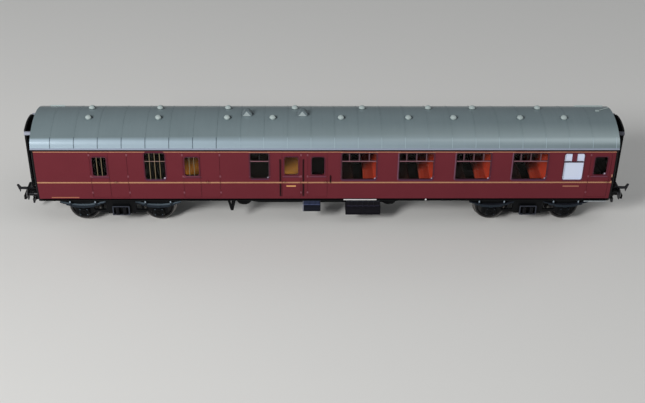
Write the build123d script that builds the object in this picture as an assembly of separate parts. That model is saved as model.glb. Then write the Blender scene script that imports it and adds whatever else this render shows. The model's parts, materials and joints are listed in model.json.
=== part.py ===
from build123d import *
from collections import namedtuple
from math import cos, radians, sin, sqrt
import os

# A 4 mm to the foot model of a gangwayed brake coach.
# Millimetres. +X is the vestibule end, -X the brake end, -Y the compartment side.
# Heights on the body are above the foot of its sides, and those on the bogies above
# the rail head. save_body and save_bogie lift both until the flanges stand on z = 0.

# Body shell
BODY_LENGTH = 258.4        # over the end walls
BODY_WIDTH = 36.0          # at the waist
BODY_HEIGHT = 25.4         # of the sides, up to the roof
TURN_UNDER = 0.75          # the foot is this much inside the waist, each side
TUMBLE_HOME = 0.4          # and the top edge this much
WAIST_HEIGHT = 10.3
WALL = 1.0                 # thickness of sides, ends and roof
CORNER_ROUND = 0.8
ROOF_RISE = 9.0
ROOF_SHOULDER = 5.5        # small radius at each side of the roof
ROOF_OVERHANG = 0.1        # roof beyond the end walls
GUTTER_PROUD = 0.3
GUTTER_HEIGHT = 0.5
RIB_PITCH = 10.35
RIB_START = 3.6            # one rib is here, the rest follow both ways
RIB_WIDTH = 0.35
RIB_PROUD = 0.1
GROOVE = 0.18              # width and depth of the lines round doors
FRAME_PROUD = 0.15         # window frames and hinges stand out this much
FRAME_WIDTH = 0.5
WINDOW_ROUND = 0.9
SILL_HEIGHT = 0.8
SILL_DROP = 0.4            # from the window down to its sill
TRANSOM = 0.55
GLAZING_INSET = 0.35       # from the skin in to the face of a pane
GLAZING_FIT = 0.06
GLAZING_STRIP = 0.5        # strip that joins the panes behind the wall
BARS_LEFT_OF = -30.0       # doors on this side of it have barred windows
DOOR_LOW = 0.7
DOOR_HEAD = 0.7            # from the top of a door up to the roof
HANDLE_HEIGHT = 9.2
HINGES = (3.5, 12.1, 22.8)

# Running gear
FLANGE = 0.8
WHEEL_RADIUS = 7.0
WHEEL_GAP = 0.4            # from a flange to what is over, before or behind it
BACK_TO_BACK = 14.4
WHEEL_WIDTH = 2.8
FLANGE_WIDTH = 0.8
AXLE_RADIUS = 1.0
PINPOINT = 1.5             # length of each cone of an axle
PINPOINT_DEPTH = 1.3       # how far a point reaches into the side frame
BEARING_FIT = 0.25
BOGIE_INSET = 36.2         # from the end wall to the pivot
WHEELBASE = 34.0
BOGIE_DROP = 3.1           # from the foot of the body to the top of the bogies
FRAME_INNER = 11.6         # inside face of a side frame, from the centre
FRAME_PLATE = 1.2
FRAME_LIP = 0.9
LIP_HEIGHT = 0.5
BOLSTER_DROP = 0.2         # from the top of the bogie to the bolster
BOLSTER_DEPTH = 2.0
BOLSTER_HALF = 4.5
PIVOT_RADIUS = 1.6
PIVOT_FIT = 0.06
PIVOT_GAP = 0.3            # above and below the bolster
CROSSBAR_WIDTH = 1.2
SPRING_SPAN = 20.6
SPRING_LEAF = 0.42
SPRING_LEAVES = (            # share of the span, thickness in leaves with the lap into the next
    (0.48, 1.5),
    (0.74, 1.5),
    (1.0, 1.0),
)
BUCKLE_LIP = 0.08           # buckle beyond the leaves, above and below
SPRING_WIDTH = 1.3
SPRING_SEAT = 0.05         # between the spring and its axlebox
SPRING_CLEAR = 0.1         # between the ends of the spring and the lip
HANGER_LINKS = 5.7         # from the axle to the links in front of the spring
HANGER_LINK_RADIUS = 0.38
HANGER_LINK_PROUD = 0.12    # middle of a link beyond the face of the leaves
AXLEBOX_DROP = 1.1         # its middle lies this much under the axle
AXLEBOX_HIGH = 4.6
AXLEBOX_DEPTH = 1.4
BRAKE_GAP = 0.4            # from the tread to a brake shoe
BRAKE_SHOE = 0.9

# Underframe
FLOOR_THICK = 1.2
FLOOR_FIT = 0.15
SOLEBAR_INSET = 1.9        # from the foot of the side in to the solebar
SOLEBAR_DEPTH = 2.4
SOLEBAR_FLANGE = 1.2
SOLEBAR_WEB = 0.5
HEADSTOCK_DEPTH = 3.0
HEADSTOCK_THICK = 1.6
FOOTBOARD_DROP = 1.4
FOOTBOARD_THICK = 0.4
FOOTBOARD_PROUD = 0.65     # beyond the foot of the side
BUFFER_SPREAD = 11.4       # from the centre to each buffer
BUFFER_DROP = 1.0
BUFFER_REACH = 6.2         # beyond the end wall
BUFFER_HEAD = 2.8
BALLAST_THICK = 2.0
BALLAST_END_GAP = 31.2     # from its ends to the end walls
BALLAST_SIDE_GAP = 2.0
BOX_INSET = 0.25           # from the face of the solebar in to the equipment
BOX_DEPTH = 5.2            # of the equipment, inwards from its face
BOX_STEP = 0.45            # upper part of its face behind the lower part
TRUSS_DEPTH = 6.6
TRUSS_THICK = 0.8
UNDER_GAP = 0.1            # between neighbours under the floor
TRUSS_POSTS = (12.0, 30.0)
TRUSS_END_GAP = 35.0       # from the foot of the truss to the pivot of the bogie

# Gangways and couplings
GANGWAY_REACH = 4.2        # beyond the end wall
GANGWAY_HALF = 8.0
GANGWAY_LOW = 0.4
GANGWAY_SHOULDER = 4.2     # top corner above the top of the sides
GANGWAY_ARCH = 1.4         # and the middle above that corner
GANGWAY_PLATE = 0.9
GANGWAY_FOLDS = 3
DOORWAY_HALF = 5.4
DOORWAY_TOP = 3.0          # above the top of the sides
DOORWAY_DEPTH = 2.4
COUPLING_REACH = 13.4      # tip of the hook beyond the end wall
HOOK_PIVOT_OUT = 2.0       # pivot of the hook beyond the end wall
HOOK_RISE = 3.4            # pivot of the hook above the axles
HOOK_THICK = 0.8
HOOK_PIN = 0.35
HOOK_PIN_FIT = 0.07
HOOK_SIDE_GAP = 0.3
BAR_HALF = 6.5
BAR_RISE = 1.2             # foot of the bumper bar above the axles
BAR_HEIGHT = 1.6
BAR_BACK = 5.4             # from the tip of the hook back to the bar

# Inside
FLOOR_TOP = 4.4            # top of the inner floor
CORRIDOR_WALL = 7.0        # centre line of the corridor partition
PARTITION = 0.7
PARTITION_RISE = 0.9       # above the top of the sides
SEAT_DEPTH = 5.6
SEAT_HEIGHT = 5.2
SEAT_BACK = 2.0
SEAT_TOP = 18.3
INNER_GAP = 0.3            # between inner pieces and the shell

HALF_WAIST = BODY_WIDTH / 2
HALF_FOOT = HALF_WAIST - TURN_UNDER
HALF_CANT = HALF_WAIST - TUMBLE_HOME
HALF_BODY = BODY_LENGTH / 2
SIDE_END = HALF_BODY - WALL
DOOR_HIGH = BODY_HEIGHT - DOOR_HEAD
BALLAST_HIGH = FLOOR_THICK + BALLAST_THICK
PARTITION_TOP = BODY_HEIGHT + PARTITION_RISE
SOLEBAR_FACE = HALF_FOOT - SOLEBAR_INSET
BOX_FACE = SOLEBAR_FACE - BOX_INSET
TRUSS_Y = BOX_FACE - BOX_DEPTH - UNDER_GAP - TRUSS_THICK
GANGWAY_FACE = HALF_BODY + GANGWAY_REACH
HOOK_PIVOT = HALF_BODY + HOOK_PIVOT_OUT
HOOK_TIP = HALF_BODY + COUPLING_REACH

AXLE_HEIGHT = WHEEL_RADIUS
BODY_LIFT = 2 * WHEEL_RADIUS + FLANGE + WHEEL_GAP   # foot of the body above the rail
BOGIE_X = HALF_BODY - BOGIE_INSET
BOGIE_TOP = BODY_LIFT - BOGIE_DROP
BOLSTER_HIGH = BOGIE_TOP - BOLSTER_DROP
BOLSTER_LOW = BOLSTER_HIGH - BOLSTER_DEPTH
FRAME_OUTER = FRAME_INNER + FRAME_PLATE
WHEEL_REACH = WHEEL_RADIUS + FLANGE
BOGIE_END_BAR = WHEELBASE / 2 + WHEEL_REACH + WHEEL_GAP + 0.1
BOGIE_HALF = BOGIE_END_BAR + CROSSBAR_WIDTH
CROSSBAR_X = WHEELBASE / 2 - WHEEL_REACH - WHEEL_GAP - CROSSBAR_WIDTH / 2
CROSSBAR_LOW = BOLSTER_LOW - 0.3
AXLEBOX_HEIGHT = AXLE_HEIGHT - AXLEBOX_DROP
SPRING_LOW = AXLEBOX_HEIGHT + AXLEBOX_HIGH / 2 + SPRING_SEAT
SPRING_PACK = len(SPRING_LEAVES) * SPRING_LEAF + 2 * BUCKLE_LIP
SPRING_SAG = BOGIE_TOP - LIP_HEIGHT - SPRING_CLEAR - SPRING_LOW - SPRING_PACK + BUCKLE_LIP
GUIDE_LOW = AXLE_HEIGHT - 2.6      # foot of the horn guides and of the bolster springs
COIL_HIGH = BOGIE_TOP - 2.9
HOOK_HEIGHT = AXLE_HEIGHT + HOOK_RISE
BAR_LOW = AXLE_HEIGHT + BAR_RISE
BAR_HIGH = BAR_LOW + BAR_HEIGHT

# Openings of the compartment side. wide and narrow are fixed windows with top
# lights, luggage has bars, drop is the window of a door. Those of the lavatory
# and the end door are measured from the end of the body.
Window = namedtuple("Window", "kind x0 x1 z0 z1 transom")
WINDOWS_COMPARTMENT = [
    Window("drop", -103.0, -96.8, 12.4, 21.7, None),
    Window("luggage", -80.0, -71.0, 10.5, 23.8, 19.7),
    Window("drop", -62.4, -56.2, 12.4, 21.7, None),
    Window("narrow", -33.7, -25.2, 10.8, 23.8, 19.7),
    Window("drop", -18.4, -12.4, 12.7, 21.8, None),
    Window("drop", -6.4, -0.8, 12.7, 21.8, None),
    Window("wide", 6.8, 22.4, 10.3, 23.8, 19.7),
    Window("wide", 32.1, 47.7, 10.3, 23.8, 19.7),
    Window("wide", 57.4, 73.0, 10.3, 23.8, 19.7),
    Window("wide", 82.7, 98.3, 10.3, 23.8, 19.7),
    Window("lavatory", HALF_BODY - 23.6, HALF_BODY - 14.9, 10.3, 23.4, 19.3),
    Window("drop", HALF_BODY - 10.0, HALF_BODY - 4.2, 12.7, 21.8, None),
]
# The corridor side repeats it, with a clear window across from the lavatory.
WINDOWS_CORRIDOR = [w._replace(kind="narrow") if w.kind == "lavatory" else w for w in WINDOWS_COMPARTMENT]
TOP_LIGHT_BARS = {"wide": (0.22, 0.5, 0.78), "narrow": (0.5,)}

# Doors: outer edges, the meeting line of a pair, the hinged edges and the handle.
Door = namedtuple("Door", "x0 x1 meeting hinged handle")
DOORS = [
    Door(-104.1, -87.6, -95.9, (-104.1, -87.6), -93.3),
    Door(-63.3, -46.9, -55.6, (-63.3, -46.9), -52.6),
    Door(-19.6, -11.1, None, (-11.1,), -18.6),
    Door(-8.2, 0.7, None, (-8.2,), -0.2),
    Door(HALF_BODY - 12.0, HALF_BODY - 2.5, None, (HALF_BODY - 12.0,), HALF_BODY - 3.6),
]

# Handrails beside doors: place along the body, lower end, upper end.
HANDRAILS = (
    (-20.4, 1.8, 8.2),
    (-20.4, 9.8, 20.6),
    (-10.2, 1.8, 8.2),
    (-10.2, 9.8, 20.6),
    (1.9, 9.0, 12.4),
    (HALF_BODY - 1.5, 9.2, 12.8),
)

# Rows of ventilators along the roof: distance from the centre line, and places.
VENTILATORS = (
    (5.0, (-104.9, -74.3, -43.8, -13.8, 16.5, 46.4, 66.4, 96.0)),
    (-4.6, (-105.0, -74.2, -43.8, -23.6, 6.7, 36.7, 56.8, 86.6, 106.2)),
)
HOODS = ((-35.2, -1.8), (-10.5, -1.8))
RAIN_STRIP_Y = 9.4
RAIN_STRIPS = ((114.1, 126.9), (-124.5, -118.0))
# The water filler over the lavatory and the pipe from it to the end of the roof.
FILLER = (HALF_BODY - 6.6, 1.8)
FILLER_PIPE = ((HALF_BODY - 5.6, 2.4), (HALF_BODY - 0.6, 6.0))

# Walls across the coach: four compartments, the lavatory, then the guard's.
COMPARTMENT_WALLS = (2.0, 27.2, 52.6, 77.9, 103.0)
LAVATORY_WALL = HALF_BODY - 13.3
GUARD_WALLS = (-9.4, -37.5)

# Equipment under the floor: ends, foot, the step in its face, and its doors.
Equipment = namedtuple("Equipment", "x0 x1 low step doors")
EQUIPMENT = {
    "battery_box": Equipment(9.2, 25.2, -10.1, -6.0, 2),
    "regulator_box": Equipment(-10.4, -2.2, -8.2, -4.8, 1),
}
VACUUM_CYLINDERS = ((-37.4, -5.0), (29.6, -5.0))
HANGER_X = -42.6
SHAFT_DROP = 8.0
DYNAMO = (47.0, 12.6, -5.6)
STEP_HEIGHTS = (-1.0, 2.2, 4.6, 7.0, 9.4)


def circle_through(a, b, c):
    """Centre and radius of the circle through three (y, z) points."""
    d = 2 * (a[0] * (b[1] - c[1]) + b[0] * (c[1] - a[1]) + c[0] * (a[1] - b[1]))
    sq = [p[0] ** 2 + p[1] ** 2 for p in (a, b, c)]
    y = (sq[0] * (b[1] - c[1]) + sq[1] * (c[1] - a[1]) + sq[2] * (a[1] - b[1])) / d
    z = (sq[0] * (c[0] - b[0]) + sq[1] * (a[0] - c[0]) + sq[2] * (b[0] - a[0])) / d
    return y, z, sqrt((a[0] - y) ** 2 + (a[1] - z) ** 2)


SIDE_Y, SIDE_Z, SIDE_RADIUS = circle_through(
    (HALF_FOOT, 0), (HALF_WAIST, WAIST_HEIGHT), (HALF_CANT, BODY_HEIGHT)
)


def half_width(z, inset=0.0):
    """Half width of the body at height z, inset from the outer skin."""
    return SIDE_Y + sqrt((SIDE_RADIUS - inset) ** 2 - (z - SIDE_Z) ** 2)


def inner_half(z):
    """Half width that is free inside the glazing."""
    return half_width(z, WALL + GLAZING_FIT + GLAZING_STRIP) - INNER_GAP


def arch_radii(inset=0.0):
    """Half span, rise, small radius and large radius of the roof arch."""
    half, rise, small = HALF_CANT - inset, ROOF_RISE - inset, ROOF_SHOULDER - inset
    large = ((half - small) ** 2 + rise**2 - small**2) / (2 * (rise - small))
    return half, rise, small, large


def roof_arch(inset=0.0):
    """Sketch of (y, z) under a three centred arch."""
    half, rise, small, large = arch_radii(inset)
    drop = large - rise
    reach = sqrt((half - small) ** 2 + drop**2)
    join_y, join_z = (half - small) / reach * large, drop / reach * large - drop
    top = ThreePointArc((-join_y, join_z), (0, rise), (join_y, join_z))
    right = RadiusArc((join_y, join_z), (half, 0), small)
    left = RadiusArc((-half, 0), (-join_y, join_z), small)
    return Pos(0, BODY_HEIGHT) * make_face(left + top + right + Line((half, 0), (-half, 0)))


def roof_height(y):
    """Height of the roof at a distance from the centre line."""
    _, rise, _, large = arch_radii()
    return BODY_HEIGHT + rise - large + sqrt(large**2 - y**2)


def skin(z0, z1, inset_out, inset_in):
    """Sketch of (y, z): a band of the +Y wall between two depths below the skin."""
    zm = (z0 + z1) / 2
    outer = ThreePointArc(*[(half_width(z, inset_out), z) for z in (z0, zm, z1)])
    inner = ThreePointArc(*[(half_width(z, inset_in), z) for z in (z1, zm, z0)])
    return make_face(outer + Line(outer @ 1, inner @ 0) + inner + Line(inner @ 1, outer @ 0))


def along_x(sketch, x0, x1):
    """Extrude a sketch of (y, z) from x0 to x1."""
    return Pos(x0, 0, 0) * extrude(Plane.YZ * sketch, amount=x1 - x0)


def across_y(sketch, y0, y1):
    """Extrude a sketch of (x, z) from y0 to y1."""
    return Pos(0, y1, 0) * extrude(Plane.XZ * sketch, amount=y1 - y0)


def up_z(sketch, z0, z1):
    """Extrude a sketch of (x, y) from z0 to z1."""
    return Pos(0, 0, z0) * extrude(sketch, amount=z1 - z0)


def through_wall(sketch):
    """Extrude a sketch of (x, z) right through the +Y wall."""
    return across_y(sketch, HALF_FOOT - WALL - 2, HALF_WAIST + 2)


def along_wall(inset_out, inset_in, z0=0, z1=BODY_HEIGHT, reach=SIDE_END):
    """Sheet of the +Y wall between two depths, over the whole length."""
    return along_x(skin(z0, z1, inset_out, inset_in), -reach, reach)


def block(x0, x1, y0, y1, z0, z1):
    """Plain rectangular solid between two corners."""
    return Pos((x0 + x1) / 2, (y0 + y1) / 2, (z0 + z1) / 2) * Box(x1 - x0, y1 - y0, z1 - z0)


def plain(x0, x1, z0, z1):
    """Rectangle between two corners."""
    return Pos((x0 + x1) / 2, (z0 + z1) / 2) * Rectangle(x1 - x0, z1 - z0)


def pane(x0, x1, z0, z1, radius):
    """Rounded rectangle between two corners."""
    return Pos((x0 + x1) / 2, (z0 + z1) / 2) * RectangleRounded(x1 - x0, z1 - z0, radius)


def window_outline(w, grow=0.0):
    """Outline of a window, larger all round by grow."""
    return pane(w.x0 - grow, w.x1 + grow, w.z0 - grow, w.z1 + grow, WINDOW_ROUND + grow)


def ring(x0, x1, z0, z1, radius, width):
    """Outline of a rounded frame of the given width."""
    hole = pane(x0 + width, x1 - width, z0 + width, z1 - width, max(radius - width, 0.1))
    return pane(x0, x1, z0, z1, radius) - hole


def rod(start, end, radius):
    """Round bar between two points."""
    axis = Vector(*end) - Vector(*start)
    return Plane(origin=start, z_dir=axis) * extrude(Circle(radius), amount=axis.length)


def turned(profile):
    """Solid turned about Z from a closed profile of (radius, height)."""
    return revolve(Plane.XZ * make_face(profile), axis=Axis.Z)


def crown(radius, low, high):
    """Arc from a rim up to the axis, level where it meets the axis."""
    rise = high - low
    return RadiusArc((radius, low), (0, high), -(radius**2 + rise**2) / (2 * rise))


def both_sides(shape):
    """The shape and its mirror image across the centre line."""
    return [shape, mirror(shape, about=Plane.XZ)]


def both_ends(shape):
    """The shape and its mirror image at the other end."""
    return [shape, mirror(shape, about=Plane.YZ)]


def save_bogie(name, *shapes):
    """Write one file of pieces whose heights are above the rail head."""
    solids = [Pos(0, 0, FLANGE) * solid for shape in shapes for solid in shape.solids()]
    export_step(Compound(children=solids), f"parts/{name}.step")


def save_body(name, *shapes):
    """Write one file of pieces whose heights are above the foot of the sides."""
    save_bogie(name, *[Pos(0, 0, BODY_LIFT) * shape for shape in shapes])


def body_side(windows):
    """Side wall at +Y with its windows, door lines, hinges and sills."""
    proud = along_wall(-FRAME_PROUD, WALL / 2)
    raised, lines = [], []
    for w in windows:
        raised.append(proud & through_wall(window_outline(w, FRAME_WIDTH)))
        if w.kind == "drop":
            sill_top = w.z0 - SILL_DROP
            sill = plain(w.x0 - 0.9, w.x1 + 0.9, sill_top - SILL_HEIGHT, sill_top)
            raised.append(proud & through_wall(sill))
    for d in DOORS:
        outline = ring(d.x0, d.x1, DOOR_LOW, DOOR_HIGH, 0.6, GROOVE)
        if d.meeting:
            outline += plain(d.meeting - GROOVE / 2, d.meeting + GROOVE / 2, DOOR_LOW, DOOR_HIGH)
        for x in d.hinged:
            for z in HINGES:
                outline -= Pos(x, z) * Rectangle(1.2, 1.1)
                raised.append(proud & through_wall(Pos(x, z) * Rectangle(0.7, 1.0)))
        lines.append(outline)
    groove = along_wall(-1, GROOVE)
    cuts = [groove & through_wall(outline) for outline in lines]
    holes = [through_wall(window_outline(w)) for w in windows]
    return along_wall(0, WALL) + raised - cuts - holes


def glazing(windows):
    """Clear strip behind the +Y wall with a raised pane in each window."""
    low = min(w.z0 for w in windows) - 1.6
    high = max(w.z1 for w in windows) + 0.9
    back = WALL + GLAZING_FIT + GLAZING_STRIP
    strip = along_wall(WALL + GLAZING_FIT, back, low, high, SIDE_END - WALL)
    slab = along_wall(GLAZING_INSET, back - GLAZING_STRIP / 2)
    return strip + [slab & through_wall(window_outline(w, -GLAZING_FIT)) for w in windows]


def vent_frames(windows):
    """Frames, transoms and top light bars in front of the panes of the +Y wall."""
    face = along_wall(-0.02, GLAZING_INSET)
    frames = []
    for w in windows:
        if w.kind not in ("wide", "narrow", "lavatory"):
            continue
        middle, span, top = (w.x0 + w.x1) / 2, w.x1 - w.x0, w.z1 - w.transom
        lines = ring(w.x0, w.x1, w.z0, w.z1, WINDOW_ROUND, 0.3)
        lines += Pos(middle, w.transom) * Rectangle(span - 0.2, TRANSOM)
        for share in TOP_LIGHT_BARS.get(w.kind, ()):
            lines += Pos(w.x0 + span * share, w.transom + top / 2) * Rectangle(0.45, top - 0.1)
        if w.kind == "lavatory":
            lines += Pos(middle, w.transom + top / 2) * Rectangle(2.4, top - 0.1)
        frames.append(face & through_wall(lines))
    return frames


def window_bars(windows):
    """Upright guard bars of the luggage windows and doors of the +Y wall."""
    face = along_wall(0.02, GLAZING_INSET)
    grids = []
    for w in windows:
        if w.kind != "luggage" and not (w.kind == "drop" and w.x1 < BARS_LEFT_OF):
            continue
        middle, span = (w.x0 + w.x1) / 2, w.x1 - w.x0
        count = 3 if w.kind == "luggage" else 2
        lines = plain(w.x0 + 0.7, w.x1 - 0.7, w.z1 - 0.4, w.z1)
        lines += plain(w.x0 + 0.7, w.x1 - 0.7, w.z0, w.z0 + 0.4)
        for i in range(count):
            x = w.x0 + span * (i + 1) / (count + 1)
            lines += plain(x - 0.18, x + 0.18, w.z0, w.z1)
        if w.transom:
            lines += Pos(middle, w.transom) * Rectangle(span, 0.5)
        grids.append(face & through_wall(lines))
    return grids


def door_handle(x):
    """T shaped handle on the +Y wall."""
    y = half_width(HANDLE_HEIGHT)
    out = y + 0.55
    stem = rod((x, y, HANDLE_HEIGHT), (x, out, HANDLE_HEIGHT), 0.28)
    return stem + rod((x - 0.7, out, HANDLE_HEIGHT), (x + 0.7, out, HANDLE_HEIGHT), 0.2)


def handrail(x, z0, z1):
    """Upright rail on two short feet on the +Y wall."""
    out = [(x, half_width(z) + 0.45, z) for z in (z0, z1)]
    rail = rod(out[0], out[1], 0.2)
    for end in out:
        rail += rod((x, half_width(end[2]), end[2]), end, 0.2) + Pos(*end) * Sphere(0.2)
    return rail


def end_wall():
    """End wall at +X: a plate that closes the sides and the roof."""
    band = skin(0, BODY_HEIGHT, 0, WALL)
    lower = make_hull(band.edges() + mirror(band, about=Plane.YZ).edges())
    plate = along_x(lower + roof_arch(WALL + GLAZING_FIT), SIDE_END, HALF_BODY)
    face = plate.faces().sort_by(Axis.X)[-1]
    corners = [e for e in face.edges() if abs(e.center().Y) > HALF_FOOT - 0.5 and e.length > BODY_HEIGHT / 2]
    return fillet(corners, min(CORNER_ROUND, WALL * 0.8))


def roof():
    """Roof shell with a gutter along each side and ribs across it."""
    reach = HALF_BODY + ROOF_OVERHANG
    rib = roof_arch(-RIB_PROUD) - roof_arch(WALL / 2)
    count = int((HALF_BODY - 8) / RIB_PITCH)
    places = [RIB_START + i * RIB_PITCH for i in range(-count - 1, count + 1)]
    ribs = [along_x(rib, x - RIB_WIDTH / 2, x + RIB_WIDTH / 2) for x in places]
    edge = HALF_CANT + GUTTER_PROUD
    gutter = plain(HALF_CANT - WALL / 2, edge, BODY_HEIGHT, BODY_HEIGHT + GUTTER_HEIGHT)
    gutters = both_sides(along_x(gutter, -reach, reach))
    return along_x(roof_arch() - roof_arch(WALL), -reach, reach) + ribs + gutters


def on_roof(shape, x):
    """Trim the foot of a piece at x to the outside of the roof."""
    return shape - along_x(roof_arch(-RIB_PROUD), x - 20, x + 20)


def ventilator(x, y):
    """Domed ventilator: a collar under a mushroom cap."""
    profile = Polyline((0, -1), (1.15, -1), (1.15, 0.35), (1.45, 0.35), (1.45, 0.65))
    shape = turned(profile + crown(1.45, 0.65, 1.55) + Line((0, 1.55), (0, -1)))
    return on_roof(Pos(x, y, roof_height(y)) * shape, x)


def hood(x, y):
    """Periscope hood: a wedge with a sloping front."""
    side = Polyline((-2.2, -1), (-2.2, 0.5), (-0.8, 2.3), (1.0, 2.5), (2.2, 1.2), (2.2, -1), (-2.2, -1))
    body = across_y(make_face(side), -1.3, 1.3)
    body = fillet(body.edges().filter_by(Axis.Y).group_by(Axis.Z)[-1], 0.5)
    return on_roof(Pos(x, y, roof_height(y)) * body, x)


def rain_strip(x0, x1):
    """Raised strip along the corridor side of the roof."""
    z = roof_height(RAIN_STRIP_Y)
    strip = block(x0, x1, RAIN_STRIP_Y - 0.25, RAIN_STRIP_Y + 0.25, z - 1, z + 0.55)
    return on_roof(strip, (x0 + x1) / 2)


def filler():
    """Lid of the water filler over the lavatory."""
    x, y = FILLER
    lid = Pos(x, y, roof_height(y) - 1) * extrude(RectangleRounded(1.8, 1.2, 0.3), amount=1.5)
    return on_roof(chamfer(lid.edges().group_by(Axis.Z)[-1], 0.15), x)


def filler_pipe():
    """Pipe from the filler to the end of the roof."""
    start, end = [(x, y, roof_height(y) + 0.15) for x, y in FILLER_PIPE]
    return on_roof(rod(start, end, 0.3), end[0])


def floor_pan():
    """Floor of the underframe, held between the sides and the end walls."""
    half = half_width(0, WALL) - FLOOR_FIT
    reach = SIDE_END - FLOOR_FIT
    return block(-reach, reach, -half, half, 0, FLOOR_THICK)


def solebar():
    """Channel section beam under the +Y edge of the floor."""
    channel = Rectangle(SOLEBAR_FLANGE, SOLEBAR_DEPTH)
    channel -= Pos(SOLEBAR_WEB, 0) * Rectangle(SOLEBAR_FLANGE, SOLEBAR_DEPTH - 0.9)
    place = Pos(SOLEBAR_FACE - SOLEBAR_FLANGE / 2, -SOLEBAR_DEPTH / 2)
    reach = HALF_BODY - HEADSTOCK_THICK
    return along_x(place * channel, -reach, reach)


def headstock():
    """Beam across the +X end that carries the buffers."""
    outline = plain(-SOLEBAR_FACE, SOLEBAR_FACE, -HEADSTOCK_DEPTH, 0)
    beam = along_x(outline, HALF_BODY - HEADSTOCK_THICK, HALF_BODY)
    return chamfer(beam.edges().filter_by(Axis.X).group_by(Axis.Z)[0], 0.9)


def pivot_block():
    """Seat and pin that the +X bogie turns on."""
    seat = up_z(Circle(5.0), BOLSTER_HIGH + PIVOT_GAP - BODY_LIFT, 0)
    return Pos(BOGIE_X, 0, 0) * (seat + up_z(Circle(PIVOT_RADIUS), BOLSTER_LOW - PIVOT_GAP - BODY_LIFT, 0))


def pivot_screw():
    """Slotted screw head that holds the +X bogie on its pin."""
    top = BOLSTER_LOW - PIVOT_GAP - BODY_LIFT
    head = up_z(Circle(PIVOT_RADIUS + 1.2), top - 0.8, top)
    head = chamfer(head.edges().group_by(Axis.Z)[0], 0.25)
    return Pos(BOGIE_X, 0, 0) * (head - block(-9, 9, -0.25, 0.25, top - 1, top - 0.5))


def buffer():
    """Stock, ram and head of the +Y buffer at the +X end."""
    rim = BUFFER_REACH - 0.9
    stock = Polyline((0, 0), (2.0, 0), (2.0, 0.5), (1.55, 0.8), (1.4, 2.6), (0.85, 2.6), (0.85, rim - 0.2))
    head = Line((0.85, rim - 0.2), (BUFFER_HEAD, rim)) + crown(BUFFER_HEAD, rim, BUFFER_REACH)
    shape = turned(stock + head + Line((0, BUFFER_REACH), (0, 0)))
    return Pos(HALF_BODY, BUFFER_SPREAD, -BUFFER_DROP) * Rot(0, 90, 0) * shape


def gangway_outline(inset):
    """Sketch of (y, z): flat foot, upright sides and a low arched top."""
    half, low = GANGWAY_HALF - inset, GANGWAY_LOW + inset
    shoulder = BODY_HEIGHT + GANGWAY_SHOULDER - inset
    walls = Polyline((half, shoulder), (half, low), (-half, low), (-half, shoulder))
    arch = ThreePointArc((-half, shoulder), (0, shoulder + GANGWAY_ARCH), (half, shoulder))
    face = make_face(walls + arch)
    return fillet(face.vertices().group_by(Axis.Y)[-1], 1.2)


def gangway():
    """Folded bellows and face plate at the +X end, with the shut door inside it."""
    plate_back = GANGWAY_FACE - GANGWAY_PLATE
    pitch = (plate_back - HALF_BODY) / GANGWAY_FOLDS
    body = along_x(gangway_outline(1.2), HALF_BODY, plate_back)
    for i in range(GANGWAY_FOLDS):
        x = HALF_BODY + (i + 0.5) * pitch
        steps = ((-0.42, 1.15), (0, 0.4), (0.42, 1.15))
        outlines = [Plane.YZ.offset(x + share * pitch) * gangway_outline(inset) for share, inset in steps]
        body += loft(outlines, ruled=True)
    body += along_x(gangway_outline(0), plate_back, GANGWAY_FACE)
    doorway = pane(-DOORWAY_HALF, DOORWAY_HALF, GANGWAY_LOW + 2.2, BODY_HEIGHT + DOORWAY_TOP, 1.0)
    return body - along_x(doorway, GANGWAY_FACE - DOORWAY_DEPTH, GANGWAY_FACE + 1)


def gangway_bracket():
    """Suspension bracket at the +Y top corner of the +X gangway."""
    shoulder = BODY_HEIGHT + GANGWAY_SHOULDER
    arm = pane(GANGWAY_HALF, GANGWAY_HALF + 1.6, shoulder - 1.6, shoulder - 0.2, 0.4)
    return along_x(arm, HALF_BODY, GANGWAY_FACE - 0.3)


def end_step(z):
    """Tread on the compartment side corner of the +X end."""
    tread = block(HALF_BODY, HALF_BODY + 1.5, 1.4 - HALF_FOOT, 3.6 - HALF_FOOT, z - 0.18, z + 0.18)
    return fillet(tread.edges().filter_by(Axis.Z).group_by(Axis.X)[-1], 0.4)


def leaf_spring(x):
    """Three leaves bowed down over the axlebox at x, on the +Y side frame."""
    radius = (SPRING_SPAN**2 / 4 + SPRING_SAG**2) / (2 * SPRING_SAG)
    leaves = []
    for i, (share, thick) in enumerate(SPRING_LEAVES):
        low = SPRING_LOW + BUCKLE_LIP + i * SPRING_LEAF
        half = SPRING_SPAN * share / 2
        lift = radius - sqrt(radius**2 - half**2)
        under = ThreePointArc((-half, low + lift), (0, low), (half, low + lift))
        over = Pos(0, thick * SPRING_LEAF) * under
        leaves.append(make_face(under + Line(under @ 1, over @ 1) + over + Line(over @ 0, under @ 0)))
    pack = across_y(leaves[0] + leaves[1:], FRAME_OUTER, FRAME_OUTER + SPRING_WIDTH)
    buckle = plain(-0.8, 0.8, SPRING_LOW, SPRING_LOW + SPRING_PACK)
    front = FRAME_OUTER + SPRING_WIDTH
    foot = SPRING_LOW + SPRING_PACK - SPRING_LEAF + SPRING_SAG * (2 * HANGER_LINKS / SPRING_SPAN) ** 2
    link = up_z(Pos(HANGER_LINKS, front + HANGER_LINK_PROUD) * Circle(HANGER_LINK_RADIUS), foot, BOGIE_TOP)
    return Pos(x, 0, 0) * (pack + across_y(buckle, FRAME_OUTER, front + 0.15) + both_ends(link))


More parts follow.
